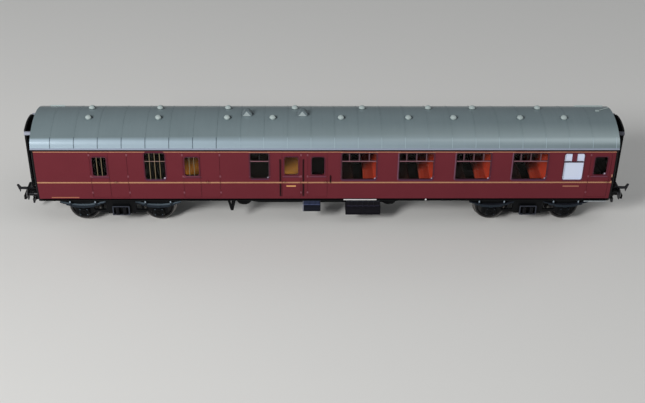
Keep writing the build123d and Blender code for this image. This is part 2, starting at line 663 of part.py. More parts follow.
def axlebox(x):
    """Tapered axlebox with a round cover on the +Y side frame."""
    back = Plane(origin=(x, FRAME_OUTER, AXLEBOX_HEIGHT), x_dir=(1, 0, 0), z_dir=(0, 1, 0))
    front = back.offset(AXLEBOX_DEPTH)
    outer = front * RectangleRounded(4.2, AXLEBOX_HIGH - 0.8, 0.8)
    box = loft([back * RectangleRounded(5.4, AXLEBOX_HIGH, 0.8), outer])
    cover = front * extrude(Circle(1.6) - Circle(1.2), amount=0.3)
    return box + cover + front * extrude(Circle(0.5), amount=0.5)


def bearing(x):
    """Cone that takes the point of the axle at x, cut from inside."""
    mouth = AXLE_RADIUS + BEARING_FIT
    cup = Plane(origin=(x, FRAME_INNER, AXLE_HEIGHT), z_dir=(0, 1, 0))
    low = (Align.CENTER, Align.CENTER, Align.MIN)
    cone = cup * Pos(0, 0, 0.14) * Cone(mouth, 0.15, PINPOINT_DEPTH + 0.2, align=low)
    return cone + cup * Cylinder(mouth, 0.15, align=low)


def side_frame():
    """Bogie side frame at +Y: web, lip, horn guides, axleboxes and bolster guides."""
    wheel = WHEELBASE / 2
    web = pane(-BOGIE_HALF, BOGIE_HALF, BOGIE_TOP - 2.2, BOGIE_TOP, 0.7)
    web += plain(-6.2, 6.2, GUIDE_LOW + 0.2, BOGIE_TOP - 0.8)
    for way in (-1, 1):
        guide = pane(wheel - 4.0, wheel + 4.0, GUIDE_LOW, BOGIE_TOP - 0.5, 0.6)
        foot, top = GUIDE_LOW + 0.6, BOGIE_TOP - 0.6
        outline = Polyline((wheel, foot + 1), (6.0, foot), (6.0, top), (wheel, top), (wheel, foot + 1))
        half = guide + make_face(outline) - pane(6.8, wheel - 4.6, GUIDE_LOW + 2, BOGIE_TOP - 2.7, 0.7)
        web += half if way > 0 else mirror(half, about=Plane.YZ)
    frame = across_y(web, FRAME_INNER, FRAME_OUTER)
    lip = plain(0.7 - BOGIE_HALF, BOGIE_HALF - 0.7, BOGIE_TOP - LIP_HEIGHT, BOGIE_TOP)
    frame += across_y(lip, FRAME_OUTER - 0.3, FRAME_OUTER + FRAME_LIP)
    frame += across_y(ring(-3.9, 3.9, GUIDE_LOW, COIL_HIGH, 0.3, 0.5), FRAME_OUTER - 0.3, FRAME_OUTER + 1.4)
    return frame + [axlebox(x) for x in (-wheel, wheel)] - [bearing(x) for x in (-wheel, wheel)]


def coil_spring(x):
    """Ringed coil spring inside the bolster guides at +Y."""
    low, rings = GUIDE_LOW + 0.55, 5
    pitch = (COIL_HIGH - 0.55 - low) / rings
    points = [(0, low)]
    for i in range(rings):
        z = low + i * pitch
        points += [(0.95, z), (0.95, z + pitch * 0.65), (0.7, z + pitch * 0.65), (0.7, z + pitch)]
    points += [(0, points[-1][1]), (0, low)]
    return Pos(x, FRAME_OUTER + 0.96, 0) * turned(Polyline(*points))


def bogie_frame():
    """Side frames joined by a bolster and cross bars; its outer end is at +X."""
    bolster = RectangleRounded(2 * BOLSTER_HALF, 2 * FRAME_INNER, 0.5)
    bars = [up_z(bolster, BOLSTER_LOW, BOLSTER_HIGH)]
    bars.append(block(-CROSSBAR_X, CROSSBAR_X, -3.6, 3.6, BOLSTER_LOW, BOLSTER_LOW + 0.7))
    for x in (-CROSSBAR_X, CROSSBAR_X):
        half = CROSSBAR_WIDTH / 2
        bars.append(block(x - half, x + half, -FRAME_INNER, FRAME_INNER, CROSSBAR_LOW, CROSSBAR_LOW + 1.2))
    end_bar = (BOGIE_END_BAR, BOGIE_HALF, -FRAME_INNER, FRAME_INNER)
    bars.append(block(*end_bar, BOLSTER_LOW, BOLSTER_HIGH - 0.4))
    near, far = both_sides(side_frame())
    bore = up_z(Circle(PIVOT_RADIUS + PIVOT_FIT), BOLSTER_LOW - 1, BOLSTER_HIGH + 1)
    return near + [far] + bars - bore


def brake_shoe():
    """Shoe and hanger at +Y on the inner side of the wheel at +X."""
    wheel, spread = WHEELBASE / 2, radians(20)
    inner, outer = [
        [(wheel - r * cos(a), AXLE_HEIGHT + r * sin(a)) for a in (-spread, 0, spread)]
        for r in (WHEEL_RADIUS + BRAKE_GAP, WHEEL_RADIUS + BRAKE_GAP + BRAKE_SHOE)
    ]
    shoe = ThreePointArc(*inner) + Line(inner[2], outer[2]) + ThreePointArc(*outer) + Line(outer[0], inner[0])
    hanger = plain(CROSSBAR_X - 0.5, outer[2][0] + 0.5, outer[2][1] - 1.4, CROSSBAR_LOW)
    start = BACK_TO_BACK / 2 + FLANGE_WIDTH
    return across_y(make_face(shoe) + hanger, start, start + 1.8)


def coupling_bar():
    """Coupling arm with its cheeks, hook pin and bumper bar, at the +X end."""
    slot = HOOK_THICK / 2 + HOOK_SIDE_GAP
    cheek = slot + 0.9
    bar = HOOK_TIP - BAR_BACK
    low, high, back = BAR_LOW + 0.2, BOLSTER_LOW + 1.0, HOOK_PIVOT - 1.6
    outline = Polyline(
        (back, low), (back, high), (HOOK_PIVOT + 1.0, high), (HOOK_PIVOT + 1.8, BAR_HIGH),
        (bar, BAR_HIGH), (bar, low), (back, low),
    )
    cheeks = both_sides(across_y(make_face(outline), slot, cheek))
    bumper = up_z(Pos(bar + 0.6, 0) * RectangleRounded(1.2, 2 * BAR_HALF, 0.5), BAR_LOW, BAR_HIGH)
    pin = rod((HOOK_PIVOT, -slot - 0.2, HOOK_HEIGHT), (HOOK_PIVOT, slot + 0.2, HOOK_HEIGHT), HOOK_PIN)
    return block(BOGIE_X + BOGIE_HALF, back, -cheek, cheek, low, high) + cheeks + bumper + pin


def coupling_hook():
    """Lifting hook with its dropper, at the +X end."""
    tip, back = HOOK_TIP, HOOK_PIVOT - 0.8
    low, foot = BAR_HIGH + 0.1, BAR_LOW - 5.0
    high = low + 1.0
    outline = Polyline(
        (back, low), (tip - 7.6, low), (tip - 7.6, foot), (tip - 6.8, foot), (tip - 6.8, low),
        (tip - 1.6, low), (tip - 1.3, low - 1.5), (tip, low + 2.3), (tip - 0.8, low + 2.5),
        (tip - 1.7, high), (back, high), (back, low),
    )
    hook = across_y(make_face(outline), -HOOK_THICK / 2, HOOK_THICK / 2)
    dropper = block(tip - 7.6, tip - 6.8, -1.6, 1.6, foot, foot + 2.2)
    eye = rod((HOOK_PIVOT, -2, HOOK_HEIGHT), (HOOK_PIVOT, 2, HOOK_HEIGHT), HOOK_PIN + HOOK_PIN_FIT)
    return hook + dropper - eye


def wheel():
    """Wheel at +Y: tread, flange on the inside, dished web and hub."""
    back, tread, hub = BACK_TO_BACK / 2, WHEEL_RADIUS, 2.2
    front, rim, web = back + WHEEL_WIDTH, tread - 1.0, hub + 0.4
    profile = Polyline(
        (AXLE_RADIUS, back), (hub, back), (web, back + 0.7), (rim - 0.3, back + 0.7), (rim, back),
        (tread + FLANGE - 0.2, back), (tread + FLANGE, back + 0.3), (tread + 0.1, back + FLANGE_WIDTH),
        (tread, front), (rim, front), (rim - 0.3, front - 0.8), (web, front - 0.8), (hub, front),
        (AXLE_RADIUS, front), (AXLE_RADIUS, back),
    )
    return Rot(-90, 0, 0) * turned(profile)


def axle():
    """Pinpoint axle along Y."""
    half = FRAME_INNER + PINPOINT_DEPTH
    straight = half - PINPOINT
    profile = Polyline((0, -half), (AXLE_RADIUS, -straight), (AXLE_RADIUS, straight), (0, half), (0, -half))
    return Rot(-90, 0, 0) * turned(profile)


def vacuum_cylinder():
    """Drum of the vacuum brake, hung from the floor by a stem."""
    drum = Polyline((0, -9.0), (1.6, -9.6), (3.2, -8.8), (3.6, -8.0), (3.6, -4.6), (3.2, -3.6), (1.2, -3.0))
    return turned(drum + Polyline((1.2, -3.0), (1.2, 0), (0, 0), (0, -9.0)))


def brake_hangers():
    """V shaped hanger plates behind both solebars, with the brake shaft."""
    foot = -SHAFT_DROP - 0.6
    outer = Polyline((-2.6, 0), (-0.6, foot), (0.6, foot), (2.6, 0), (-2.6, 0))
    inner = Polyline((-1.6, 0), (0, foot + 2), (1.6, 0), (-1.6, 0))
    y = SOLEBAR_FACE - SOLEBAR_FLANGE - 1.2
    plates = both_sides(across_y(make_face(outer) - make_face(inner), y, y + 0.6))
    shaft = rod((0, -y - 0.9, -SHAFT_DROP), (0, y + 0.9, -SHAFT_DROP), 0.5)
    return Pos(HANGER_X, 0, 0) * (shaft + plates)


def equipment_box(box):
    """Box hung from the floor at -Y: a carrying frame, and a lidded part that stands out."""
    back, left, right = BOX_DEPTH - BOX_FACE, box.x0 + BOX_STEP, box.x1 - BOX_STEP
    behind = SOLEBAR_FLANGE + UNDER_GAP - SOLEBAR_FACE
    upper = block(left, right, BOX_STEP - BOX_FACE, back, box.step, -SOLEBAR_DEPTH)
    upper += block(left, right, behind, back, -SOLEBAR_DEPTH, 0)
    lower = block(box.x0, box.x1, -BOX_FACE, back, box.low, box.step)
    lower = fillet(lower.edges().filter_by(Axis.Z), 0.3)
    lower = chamfer(lower.faces().sort_by(Axis.Z)[-1].edges().sort_by(Axis.Y)[0], 0.2)
    width = (box.x1 - box.x0) / box.doors
    for i in range(box.doors):
        edge = box.x0 + i * width
        line = ring(edge + 0.5, edge + width - 0.5, box.low + 0.4, box.step - 0.5, 0.3, 0.25)
        lower -= across_y(line, -BOX_FACE - 1, 0.2 - BOX_FACE)
    straps, bays = [], 3 * box.doors
    for i in range(1, bays):
        x = left + (right - left) * i / bays
        straps.append(block(x - 0.35, x + 0.35, 0.15 - BOX_FACE, 1 - BOX_FACE, box.step, -SOLEBAR_DEPTH))
    return upper + lower + straps


def truss():
    """Bent truss with its posts under the +Y half of the floor."""
    low, flat, end = -TRUSS_DEPTH, TRUSS_POSTS[-1], BOGIE_X - TRUSS_END_GAP
    band = Polyline(
        (2 - end, 0), (-flat, low + 0.8), (flat, low + 0.8), (end - 2, 0), (end, 0),
        (flat + 0.6, low), (-flat - 0.6, low), (-end, 0), (2 - end, 0),
    )
    posts = [plain(side * x - 0.4, side * x + 0.4, low, 0) for x in TRUSS_POSTS for side in (-1, 1)]
    return across_y(make_face(band) + posts, TRUSS_Y, TRUSS_Y + TRUSS_THICK)


def dynamo():
    """Dynamo with its pulley, hung from the floor on the corridor side."""
    x, y, z = DYNAMO
    body = Pos(x, y, z) * Rot(0, 90, 0) * Cylinder(2.4, 7.0)
    body = fillet(body.edges().filter_by(GeomType.CIRCLE), 0.4)
    pulley = Pos(x + 4.4, y, z) * Rot(0, 90, 0) * Cylinder(1.6, 2.0)
    return body + pulley + block(x - 1.4, x + 1.4, y - 0.6, y + 0.6, z, 0)


def cross_wall(x, y0, y1):
    """Wall across the coach on the inner floor."""
    return block(x - PARTITION / 2, x + PARTITION / 2, y0, y1, FLOOR_TOP, PARTITION_TOP)


def seats():
    """Bench seats against both sides of the walls between compartments."""
    back_top = SEAT_TOP - FLOOR_TOP
    section = Polyline(
        (0, 0), (SEAT_DEPTH, 0), (SEAT_DEPTH, SEAT_HEIGHT - 0.6), (SEAT_DEPTH - 0.6, SEAT_HEIGHT),
        (SEAT_BACK, SEAT_HEIGHT - 0.5), (SEAT_BACK - 0.6, back_top), (0, back_top), (0, 0),
    )
    bench = across_y(make_face(section), -inner_half(FLOOR_TOP), CORRIDOR_WALL - PARTITION / 2)
    benches = [Pos(x + PARTITION / 2, 0, FLOOR_TOP) * bench for x in COMPARTMENT_WALLS[:-1]]
    facing = mirror(bench, about=Plane.YZ)
    return benches + [Pos(x - PARTITION / 2, 0, FLOOR_TOP) * facing for x in COMPARTMENT_WALLS[1:]]


os.makedirs("parts", exist_ok=True)

save_body("body_side_corridor", body_side(WINDOWS_CORRIDOR))
save_body("body_side_compartment", mirror(body_side(WINDOWS_COMPARTMENT), about=Plane.XZ))
for name, end in (("vestibule", 0), ("brake", 1)):
    save_body(f"end_{name}", both_ends(end_wall())[end])
    save_body(f"gangway_{name}", both_ends(gangway())[end])
save_body("roof", roof())
save_body("roof_ventilators", *[ventilator(x, y) for y, places in VENTILATORS for x in places])
save_body("periscope_hoods", *[hood(x, y) for x, y in HOODS])
save_body("roof_rain_strips", *[rain_strip(x0, x1) for x0, x1 in RAIN_STRIPS])
save_body("roof_filler", filler(), filler_pipe())
save_body("glazing_corridor_side", glazing(WINDOWS_CORRIDOR))
save_body("glazing_compartment_side", mirror(glazing(WINDOWS_COMPARTMENT), about=Plane.XZ))
save_body("vent_frames_corridor_side", *vent_frames(WINDOWS_CORRIDOR))
near_frames = [mirror(f, about=Plane.XZ) for f in vent_frames(WINDOWS_COMPARTMENT)]
save_body("vent_frames_compartment_side", *near_frames)
save_body("luggage_window_bars", *[b for grid in window_bars(WINDOWS_COMPARTMENT) for b in both_sides(grid)])
save_body("door_handles", *[h for d in DOORS for h in both_sides(door_handle(d.handle))])
save_body("door_handrails", *[r for rail in HANDRAILS for r in both_sides(handrail(*rail))])

save_body("floor_pan", floor_pan())
save_body("solebars", *both_sides(solebar()))
save_body("headstocks", *both_ends(headstock()))
save_body("pivot_blocks", *both_ends(pivot_block()))
save_body("pivot_screws", *both_ends(pivot_screw()))
save_body("buffers", *[b for one in both_sides(buffer()) for b in both_ends(one)])
save_body("gangway_brackets", *[b for one in both_sides(gangway_bracket()) for b in both_ends(one)])
save_body("end_steps", *[s for z in STEP_HEIGHTS for s in both_ends(end_step(z))])
web_face = SOLEBAR_FACE - SOLEBAR_FLANGE + SOLEBAR_WEB
board_x, board_y = (DOORS[-1].x0 - 0.2, DOORS[-1].x1 + 0.3), (web_face, HALF_FOOT + FOOTBOARD_PROUD)
board = block(*board_x, *board_y, -FOOTBOARD_DROP, FOOTBOARD_THICK - FOOTBOARD_DROP)
save_body("footboards", *both_sides(board))
for name, box in EQUIPMENT.items():
    save_body(name, equipment_box(box))
save_body("vacuum_cylinders", *[Pos(x, y, 0) * vacuum_cylinder() for x, y in VACUUM_CYLINDERS])
save_body("brake_hangers", brake_hangers())
save_body("truss_frames", *both_sides(truss()))
save_body("dynamo", dynamo())

tray_x, tray_y = SIDE_END - INNER_GAP, inner_half(FLOOR_TOP)
ballast_x, ballast_y = HALF_BODY - BALLAST_END_GAP, tray_y - BALLAST_SIDE_GAP
save_body("ballast_weight", block(-ballast_x, ballast_x, -ballast_y, ballast_y, FLOOR_THICK, BALLAST_HIGH))
save_body("interior_floor", block(-tray_x, tray_x, -tray_y, tray_y, BALLAST_HIGH, FLOOR_TOP))
corridor_y = (CORRIDOR_WALL - PARTITION / 2, CORRIDOR_WALL + PARTITION / 2)
corridor_x = (COMPARTMENT_WALLS[0] - PARTITION / 2, LAVATORY_WALL + PARTITION / 2)
save_body("corridor_partition", block(*corridor_x, *corridor_y, FLOOR_TOP, PARTITION_TOP))
walls = COMPARTMENT_WALLS + (LAVATORY_WALL,)
save_body("compartment_partitions", *[cross_wall(x, -tray_y, corridor_y[0]) for x in walls])
save_body("guard_partitions", *[cross_wall(x, -tray_y, tray_y) for x in GUARD_WALLS])
save_body("compartment_seats", *seats())

for name, way in (("brake", -1), ("vestibule", 1)):
    turn = Rot(0, 0, 0 if way > 0 else 180)
    centre = Pos(way * BOGIE_X, 0, 0) * turn
    axles = (("outer", WHEELBASE / 2), ("inner", -WHEELBASE / 2))
    save_bogie(f"bogie_frame_{name}", centre * bogie_frame())
    springs = [leaf_spring(x) for _, x in axles] + [coil_spring(x) for x in (-1.6, 1.6)]
    save_bogie(f"bogie_springs_{name}", *[centre * s for spring in springs for s in both_sides(spring)])
    shoes = [s for shoe in both_sides(brake_shoe()) for s in both_ends(shoe)]
    save_bogie(f"bogie_brakes_{name}", *[centre * s for s in shoes])
    save_bogie(f"coupling_bar_{name}", turn * coupling_bar())
    save_bogie(f"coupling_hook_{name}", turn * coupling_hook())
    for place, x in axles:
        spot = centre * Pos(x, 0, AXLE_HEIGHT)
        save_bogie(f"wheels_{name}_{place}", *[spot * w for w in both_sides(wheel())])
        save_bogie(f"axle_{name}_{place}", spot * axle())
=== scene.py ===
# %% [markdown]
# A model railway coach, finished and lit in Blender. The hard pieces come from a CAD
# pack, which fixes every size and place. This file adds paint, lining, moulded benches,
# the smallest details, light and a camera. Numbers are millimetres unless a comment says
# otherwise, and MM turns them into the metres that Blender works in.

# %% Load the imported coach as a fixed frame
import json
import math

import bmesh
import bpy
from mathutils import Matrix, Vector


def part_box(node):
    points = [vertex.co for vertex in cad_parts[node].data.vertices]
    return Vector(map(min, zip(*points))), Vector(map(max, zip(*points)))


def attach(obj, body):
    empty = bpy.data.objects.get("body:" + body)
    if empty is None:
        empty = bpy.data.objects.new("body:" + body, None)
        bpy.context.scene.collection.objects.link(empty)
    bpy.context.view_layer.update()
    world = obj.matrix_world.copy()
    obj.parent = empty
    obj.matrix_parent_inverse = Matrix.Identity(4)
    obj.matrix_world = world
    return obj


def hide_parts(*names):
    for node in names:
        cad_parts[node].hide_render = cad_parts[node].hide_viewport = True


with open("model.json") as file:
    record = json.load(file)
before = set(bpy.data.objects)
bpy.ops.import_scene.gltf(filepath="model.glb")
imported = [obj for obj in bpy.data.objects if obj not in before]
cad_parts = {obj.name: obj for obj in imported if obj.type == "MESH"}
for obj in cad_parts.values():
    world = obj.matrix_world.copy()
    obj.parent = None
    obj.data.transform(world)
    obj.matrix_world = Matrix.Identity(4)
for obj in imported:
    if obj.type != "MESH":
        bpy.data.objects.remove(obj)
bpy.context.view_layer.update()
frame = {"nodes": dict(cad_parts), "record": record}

MM = 0.001
NODES = frame["nodes"]

# %% [markdown]
# The paint and the lining have to lie on the curved side, so its shape is worked out
# here from three points of its section. A circle through the foot, the waist and the
# top edge is the same curve that the CAD uses.

# %% Sizes that the details share
FLANGE = 0.8               # depth of the wheel flanges, which stand on the floor
FOOT = 16.0                # foot of the coach sides above the floor
SIDE_SECTION = ((17.25, 0.0), (18.0, 10.3), (17.6, 25.4))
WAIST = SIDE_SECTION[1][1]
PAINTED_END = 128.3        # the paint of the sides ends here, before the corner


def circle_through(a, b, c):
    """Centre and radius of the circle through three points."""
    d = 2 * (a[0] * (b[1] - c[1]) + b[0] * (c[1] - a[1]) + c[0] * (a[1] - b[1]))
    sa, sb, sc = [p[0] ** 2 + p[1] ** 2 for p in (a, b, c)]
    y = (sa * (b[1] - c[1]) + sb * (c[1] - a[1]) + sc * (a[1] - b[1])) / d
    z = (sa * (c[0] - b[0]) + sb * (a[0] - c[0]) + sc * (b[0] - a[0])) / d
    return y, z, math.hypot(a[0] - y, a[1] - z)


SIDE_Y, SIDE_Z, SIDE_RADIUS = circle_through(*SIDE_SECTION)


def side_at(z):
    """Half width of the coach at a height above the foot of the sides."""
    return SIDE_Y + math.sqrt(SIDE_RADIUS**2 - (z - SIDE_Z) ** 2)


print("side radius", round(SIDE_RADIUS, 1), "mm, half width at the waist", round(side_at(WAIST), 2))

# %% [markdown]
# Paint is a network of shader nodes. Written node by node that takes pages, so the next
# cell wraps a node's socket in a small class: adding or multiplying two of them makes the
# Math node that does it. A comparison makes a mask, 1 where it holds and 0 elsewhere.

# %% A socket that can be calculated with
class Socket:
    """What a node puts out, as a value in an expression."""

    def __init__(self, paint, link):
        self.paint, self.link = paint, link

    def math(self, operation, first, second=0.0):
        return self.paint.node("Math", {"operation": operation}, {0: first, 1: second})

    def __add__(self, other):
        return self.math("ADD", self, other)

    def __sub__(self, other):
        return self.math("SUBTRACT", self, other)

    def __rsub__(self, other):
        return self.math("SUBTRACT", other, self)

    def __mul__(self, other):
        return self.math("MULTIPLY", self, other)

    def __truediv__(self, other):
        return self.math("DIVIDE", self, other)

    def __rtruediv__(self, other):
        return self.math("DIVIDE", other, self)

    def __gt__(self, other):
        return self.math("GREATER_THAN", self, other)

    def __lt__(self, other):
        return self.math("LESS_THAN", self, other)

    def __pow__(self, other):
        return self.math("POWER", self, other)

    def __rpow__(self, other):
        return self.math("POWER", other, self)

    def __abs__(self):
        return self.math("ABSOLUTE", self)

    def inside(self, low, high):
        return (self > low) * (self < high)

    def least(self, other):
        return self.math("MINIMUM", self, other)

    __radd__, __rmul__ = __add__, __mul__


# %% [markdown]
# A Paint is one material. Its node method makes every other kind of node, and the rest
# are the few steps that come up again and again: where a point lies, noise, a blend of
# two colours and a bump.

# %% A material whose nodes come from one method
class Paint:
    """One material, built on a Principled shader."""

    def __init__(self, name):
        self.material = bpy.data.materials.new(name)
        self.material.use_nodes = True
        self.tree = self.material.node_tree
        self.shader = self.tree.nodes["Principled BSDF"]

    def node(self, kind, settings=None, sockets=None, out=0):
        made = self.tree.nodes.new("ShaderNode" + kind)
        for key, value in (settings or {}).items():
            setattr(made, key, value)
        for key, value in (sockets or {}).items():
            self.feed(made.inputs[key], value)
        return Socket(self, made.outputs[out])

    def feed(self, entry, value):
        """Link a socket to an input, or write a plain value there."""
        if isinstance(value, Socket):
            self.tree.links.new(value.link, entry)
        else:
            entry.default_value = value

    def set(self, **values):
        """Set or link the shader's own sockets; an underscore stands for a space."""
        for key, value in values.items():
            self.feed(self.shader.inputs[key.replace("_", " ")], value)

    def part(self, vector, axis):
        """One number of a vector, by its place 0, 1 or 2."""
        return self.node("SeparateXYZ", sockets={0: vector}, out=axis)

    def place(self):
        """The x, y and z of a point in millimetres, z above the foot of the sides."""
        spot = self.node("TexCoord", out="Object")
        x, y, z = [self.part(spot, axis) * (1 / MM) for axis in range(3)]
        return x, y, z - FOOT

    def facing(self, axis):
        """How far the surface faces along an axis, from -1 to 1."""
        return self.part(self.node("NewGeometry", out="Normal"), axis)

    def noise(self, scale, detail=3.0, stretch=(1, 1, 1)):
        """Noise from 0 to 1; scale counts its cells per metre."""
        spot = self.node("TexCoord", out="Object")
        spot = self.node("VectorMath", {"operation": "MULTIPLY"}, {0: spot, 1: stretch})
        return self.node("TexNoise", sockets={"Vector": spot, "Scale": scale, "Detail": detail})

    def mix(self, share, low, high):
        """Blend two colours by a share from 0 to 1."""
        return self.node("Mix", {"data_type": "RGBA"}, {0: share, 6: low, 7: high}, out=2)

    def bump(self, height, strength, distance):
        sockets = {"Height": height, "Strength": strength, "Distance": distance}
        return self.node("Bump", sockets=sockets)


def srgb(red, green, blue):
    """A colour as a photo shows it, 0 to 255, as the linear values that Blender uses."""
    parts = [v / 255 for v in (red, green, blue)]
    return (*[v / 12.92 if v < 0.04045 else ((v + 0.055) / 1.055) ** 2.4 for v in parts], 1.0)


print("paint helpers ready, mid grey is", round(srgb(128, 128, 128)[0], 3))

# %% [markdown]
# Most of the model is moulded or painted plastic. It is never one even colour: the paint
# lies thicker in places, and a fine grain breaks up its shine. Noise gives both, and it
# stays sharp however near the camera comes, as a picture wouldn't. Each finish only names
# its two close colours and how shiny it is. A finish that changes over its piece has
# layers, which paint other colours over the first one by masks.

# %% The recipe for moulded and painted surfaces
CLOUD_SCALE = 90.0         # clouds of thicker paint per metre
GRAIN_SCALE = 2600.0       # grains per metre
GRAIN_HEIGHT = 0.00006     # in metres
SHINE_SWING = 0.12         # how much the roughness changes from cloud to cloud


def moulded(
    name, colour, shade, roughness, grain=0.25, metallic=0.0, layers=None, specular=0.3
):
    """Two close colours mottled together, with a fine grain in the surface."""
    paint = Paint(name)
    cloud = paint.noise(CLOUD_SCALE, 4.0)
    colour = paint.mix(cloud, srgb(*shade), srgb(*colour))
    for mask, over in layers(*paint.place()) if layers else ():
        colour = paint.mix(mask, colour, srgb(*over))
    paint.set(
        Base_Color=colour,
        Roughness=roughness - SHINE_SWING / 2 + cloud * SHINE_SWING,
        Normal=paint.bump(paint.noise(GRAIN_SCALE, 2.0), grain, GRAIN_HEIGHT),
        Metallic=metallic,
        Specular_IOR_Level=specular,
    )
    return paint.material


BLACK_GLOSS = 0.12         # specular level of the black plastic, which is dusty
PLAIN = (
    # slot, colour, shade, roughness, metallic
    ("black_end", (20, 19, 21), (12, 12, 13), 0.5, 0.0),
    ("black_trim", (14, 14, 15), (8, 8, 9), 0.42, 0.0),
    ("ballast_steel", (150, 150, 152), (120, 120, 122), 0.35, 1.0),
    ("screw_steel", (160, 160, 164), (130, 130, 134), 0.3, 1.0),
    ("underframe_black", (15, 16, 18), (9, 9, 10), 0.5, 0.0),
    ("gangway_black", (18, 18, 20), (10, 10, 12), 0.6, 0.0),
    ("coupling_black", (16, 16, 17), (10, 10, 11), 0.45, 0.0),
    ("hook_steel", (70, 70, 74), (52, 52, 56), 0.4, 1.0),
    ("axle_steel", (160, 160, 164), (130, 130, 134), 0.25, 1.0),
)
MATERIALS = {
    slot: moulded(slot, colour, shade, roughness, metallic=metallic, specular=BLACK_GLOSS)
    for slot, colour, shade, roughness, metallic in PLAIN
}
print(len(MATERIALS), "plain finishes")

# %% [markdown]
# The sides are maroon outside. Seen through the windows, the inside of the far side is
# bare moulding, ochre in the guard's compartment and by one luggage door, and nearly
# black elsewhere. Faces could be picked by hand for a second material, but the mesh of a
# CAD node is never changed here. So one material does it all: a point deeper than the
# skin of the side is inside, and a point proud of it is on a hinge, a sill or the rim of
# a window, where the paint has worn to a dusty pink. The lower rims of the framed windows
# are painted a purple that stands for a reflection, and the upper edges of the sills and
# the left rims of three windows have a painted highlight.

# %% Maroon sides
SKIN = 0.8                 # a point deeper than this is inside
RAISED = 0.08              # a point this far out is on something raised
HINGE_HEIGHTS = (3.5, 12.1, 22.8)
HINGED_EDGES = (-104.1, -87.6, -63.3, -46.9, -11.1, -8.2, 117.2)
HINGE_HALF = (1.0, 0.5)    # half length and half height of a hinge
# painted reflection: the lower rims take a purple that stands for a reflection
RIM_FOOT_REFLECTION = (9.6, 10.6)     # lower rims of the framed windows
# painted highlight along the upper edge of the sills
SILL_HIGHLIGHT = (11.85, 12.1)  # upper edge of the sills of the door windows
# painted highlight on the left rims of three wide windows
HIGHLIGHT_RIMS = (32.1, 57.4, 82.7)
HIGHLIGHT_RIM_WIDTH = 0.4
LIT_ROOMS = (
    # span along the coach, colour inside
    ((-67, -50), (226, 140, 50)),
    ((-26, -9), (236, 168, 84)),
)


def side_layers(x, y, z):
    section = ((abs(y) - SIDE_Y) ** 2.0 + (z - SIDE_Z) ** 2.0) ** 0.5
    inside = section < SIDE_RADIUS - SKIN
    raised = section > SIDE_RADIUS + RAISED
    rim_highlights = sum(x.inside(edge - HIGHLIGHT_RIM_WIDTH, edge) for edge in HIGHLIGHT_RIMS)
    hinges = sum(abs(z - height) < HINGE_HALF[1] for height in HINGE_HEIGHTS)
    hinges = hinges * sum(abs(x - edge) < HINGE_HALF[0] for edge in HINGED_EDGES)
    return (
        (raised, (86, 36, 50)),
        # painted reflection on the lower rims, then painted highlights on three left rims and the
        # sill edges
        (raised * z.inside(*RIM_FOOT_REFLECTION), (84, 48, 74)),
        (raised * rim_highlights, (116, 78, 96)),
        (raised * z.inside(*SILL_HIGHLIGHT), (122, 70, 86)),
        (raised * hinges, (128, 72, 82)),
        (inside, (16, 14, 13)),
        *[(inside * x.inside(*span), colour) for span, colour in LIT_ROOMS],
    )


MATERIALS["maroon_body"] = moulded(
    "maroon_body", (106, 38, 47), (98, 34, 43), 0.36, 0.12, layers=side_layers, specular=0.15
)
print("maroon sides, worn hinges at", len(HINGED_EDGES), "door edges")

# %% [markdown]
# A painted shadow lies behind and to the right of everything that stands on the roof, as
# a cast shadow would. A mask could be painted by hand, but the places are known, so it is
# worked out: a point is in the painted shadow when it is near a fitting and on the far side
# of a slanting line through it.

# %% Painted shadows round the roof fittings
SHADOW_EDGE = 0.3            # how far behind a fitting's middle it starts, as a share of reach
ROOF_FITTINGS = (
    # distance from the centre line, reach of the painted shadow, places along the coach
    (5.0, 2.1, (-104.9, -74.3, -43.8, -13.8, 16.5, 46.4, 66.4, 96.0)),
    (-4.6, 2.1, (-105.0, -74.2, -43.8, -23.6, 6.7, 36.7, 56.8, 86.6, 106.2)),
    (-1.8, 3.3, (-35.2, -10.5)),
)


def painted_shadow(x, y, sideways=0.3, backwards=0.95):
    """Painted shadow: 1 on the back of each fitting and just behind it, turned to the right by
    sideways.
    """
    masks = []
    for row, reach, places in ROOF_FITTINGS:
        for place in places:
            right, back = x - place, y - row
            near = right * right + back * back < reach * reach
            masks.append(near * (right * sideways + back * backwards > reach * SHADOW_EDGE))
    return sum(masks)


print(sum(len(places) for *_, places in ROOF_FITTINGS), "shadowed fittings")

# %% [markdown]
# The roof is satin grey paint on a shiny moulding. A painted highlight makes it paler below
# the shoulder, most at the left, where the highlight's edge is also sharpest. Further right
# a painted highlight makes the slope above it paler instead. Below the shoulder the ribs
# have a painted shade line at the left and a painted highlight line elsewhere. Above it, the
# flanks of the ribs that face right are painted light against their shade. The gutter at
# the foot is a colder grey. A painted picture could hold all this, but it depends only on
# where a point lies, so a few sums give it too.

# %% Roof paint
RIB_START, RIB_PITCH = 3.6, 10.35
SHADED_RIBS_END = -45           # ribs left of this are dark, the others pale
RIB_SHADE_HALF, RIB_HIGHLIGHT_HALF = 0.14, 0.1         # half widths of the dark and the pale lines
SHOULDER_TOP = 30.1
SLOPE = (27.0, 33.4)       # heights between which the roof gets paler to the right
SLOPE_FROM, SLOPE_RATE = -60.0, 0.004      # where that starts, and its gain per millimetre
BLUR_FROM, BLUR_RATE = -170.0, 0.014       # the same for the blur of the highlight's edge
HIGHLIGHT_END, HIGHLIGHT_FADE = 134.0, 0.0038    # the painted highlight band gets fainter and ends here
GUTTER = (17.5, 26.0)      # it is further out than this, and lower
CLOUDS, STREAKS, FINE = 60.0, 700.0, 1800.0                  # cells per metre

roof = Paint("roof_grey")
x, y, z = roof.place()
cloud = roof.noise(CLOUDS, 5.0)
streaks = roof.noise(STREAKS, 2.0, (1, 0.06, 0.06))
grey = roof.mix(cloud * 0.7 + streaks * 0.3, srgb(106, 120, 123), srgb(122, 136, 140))

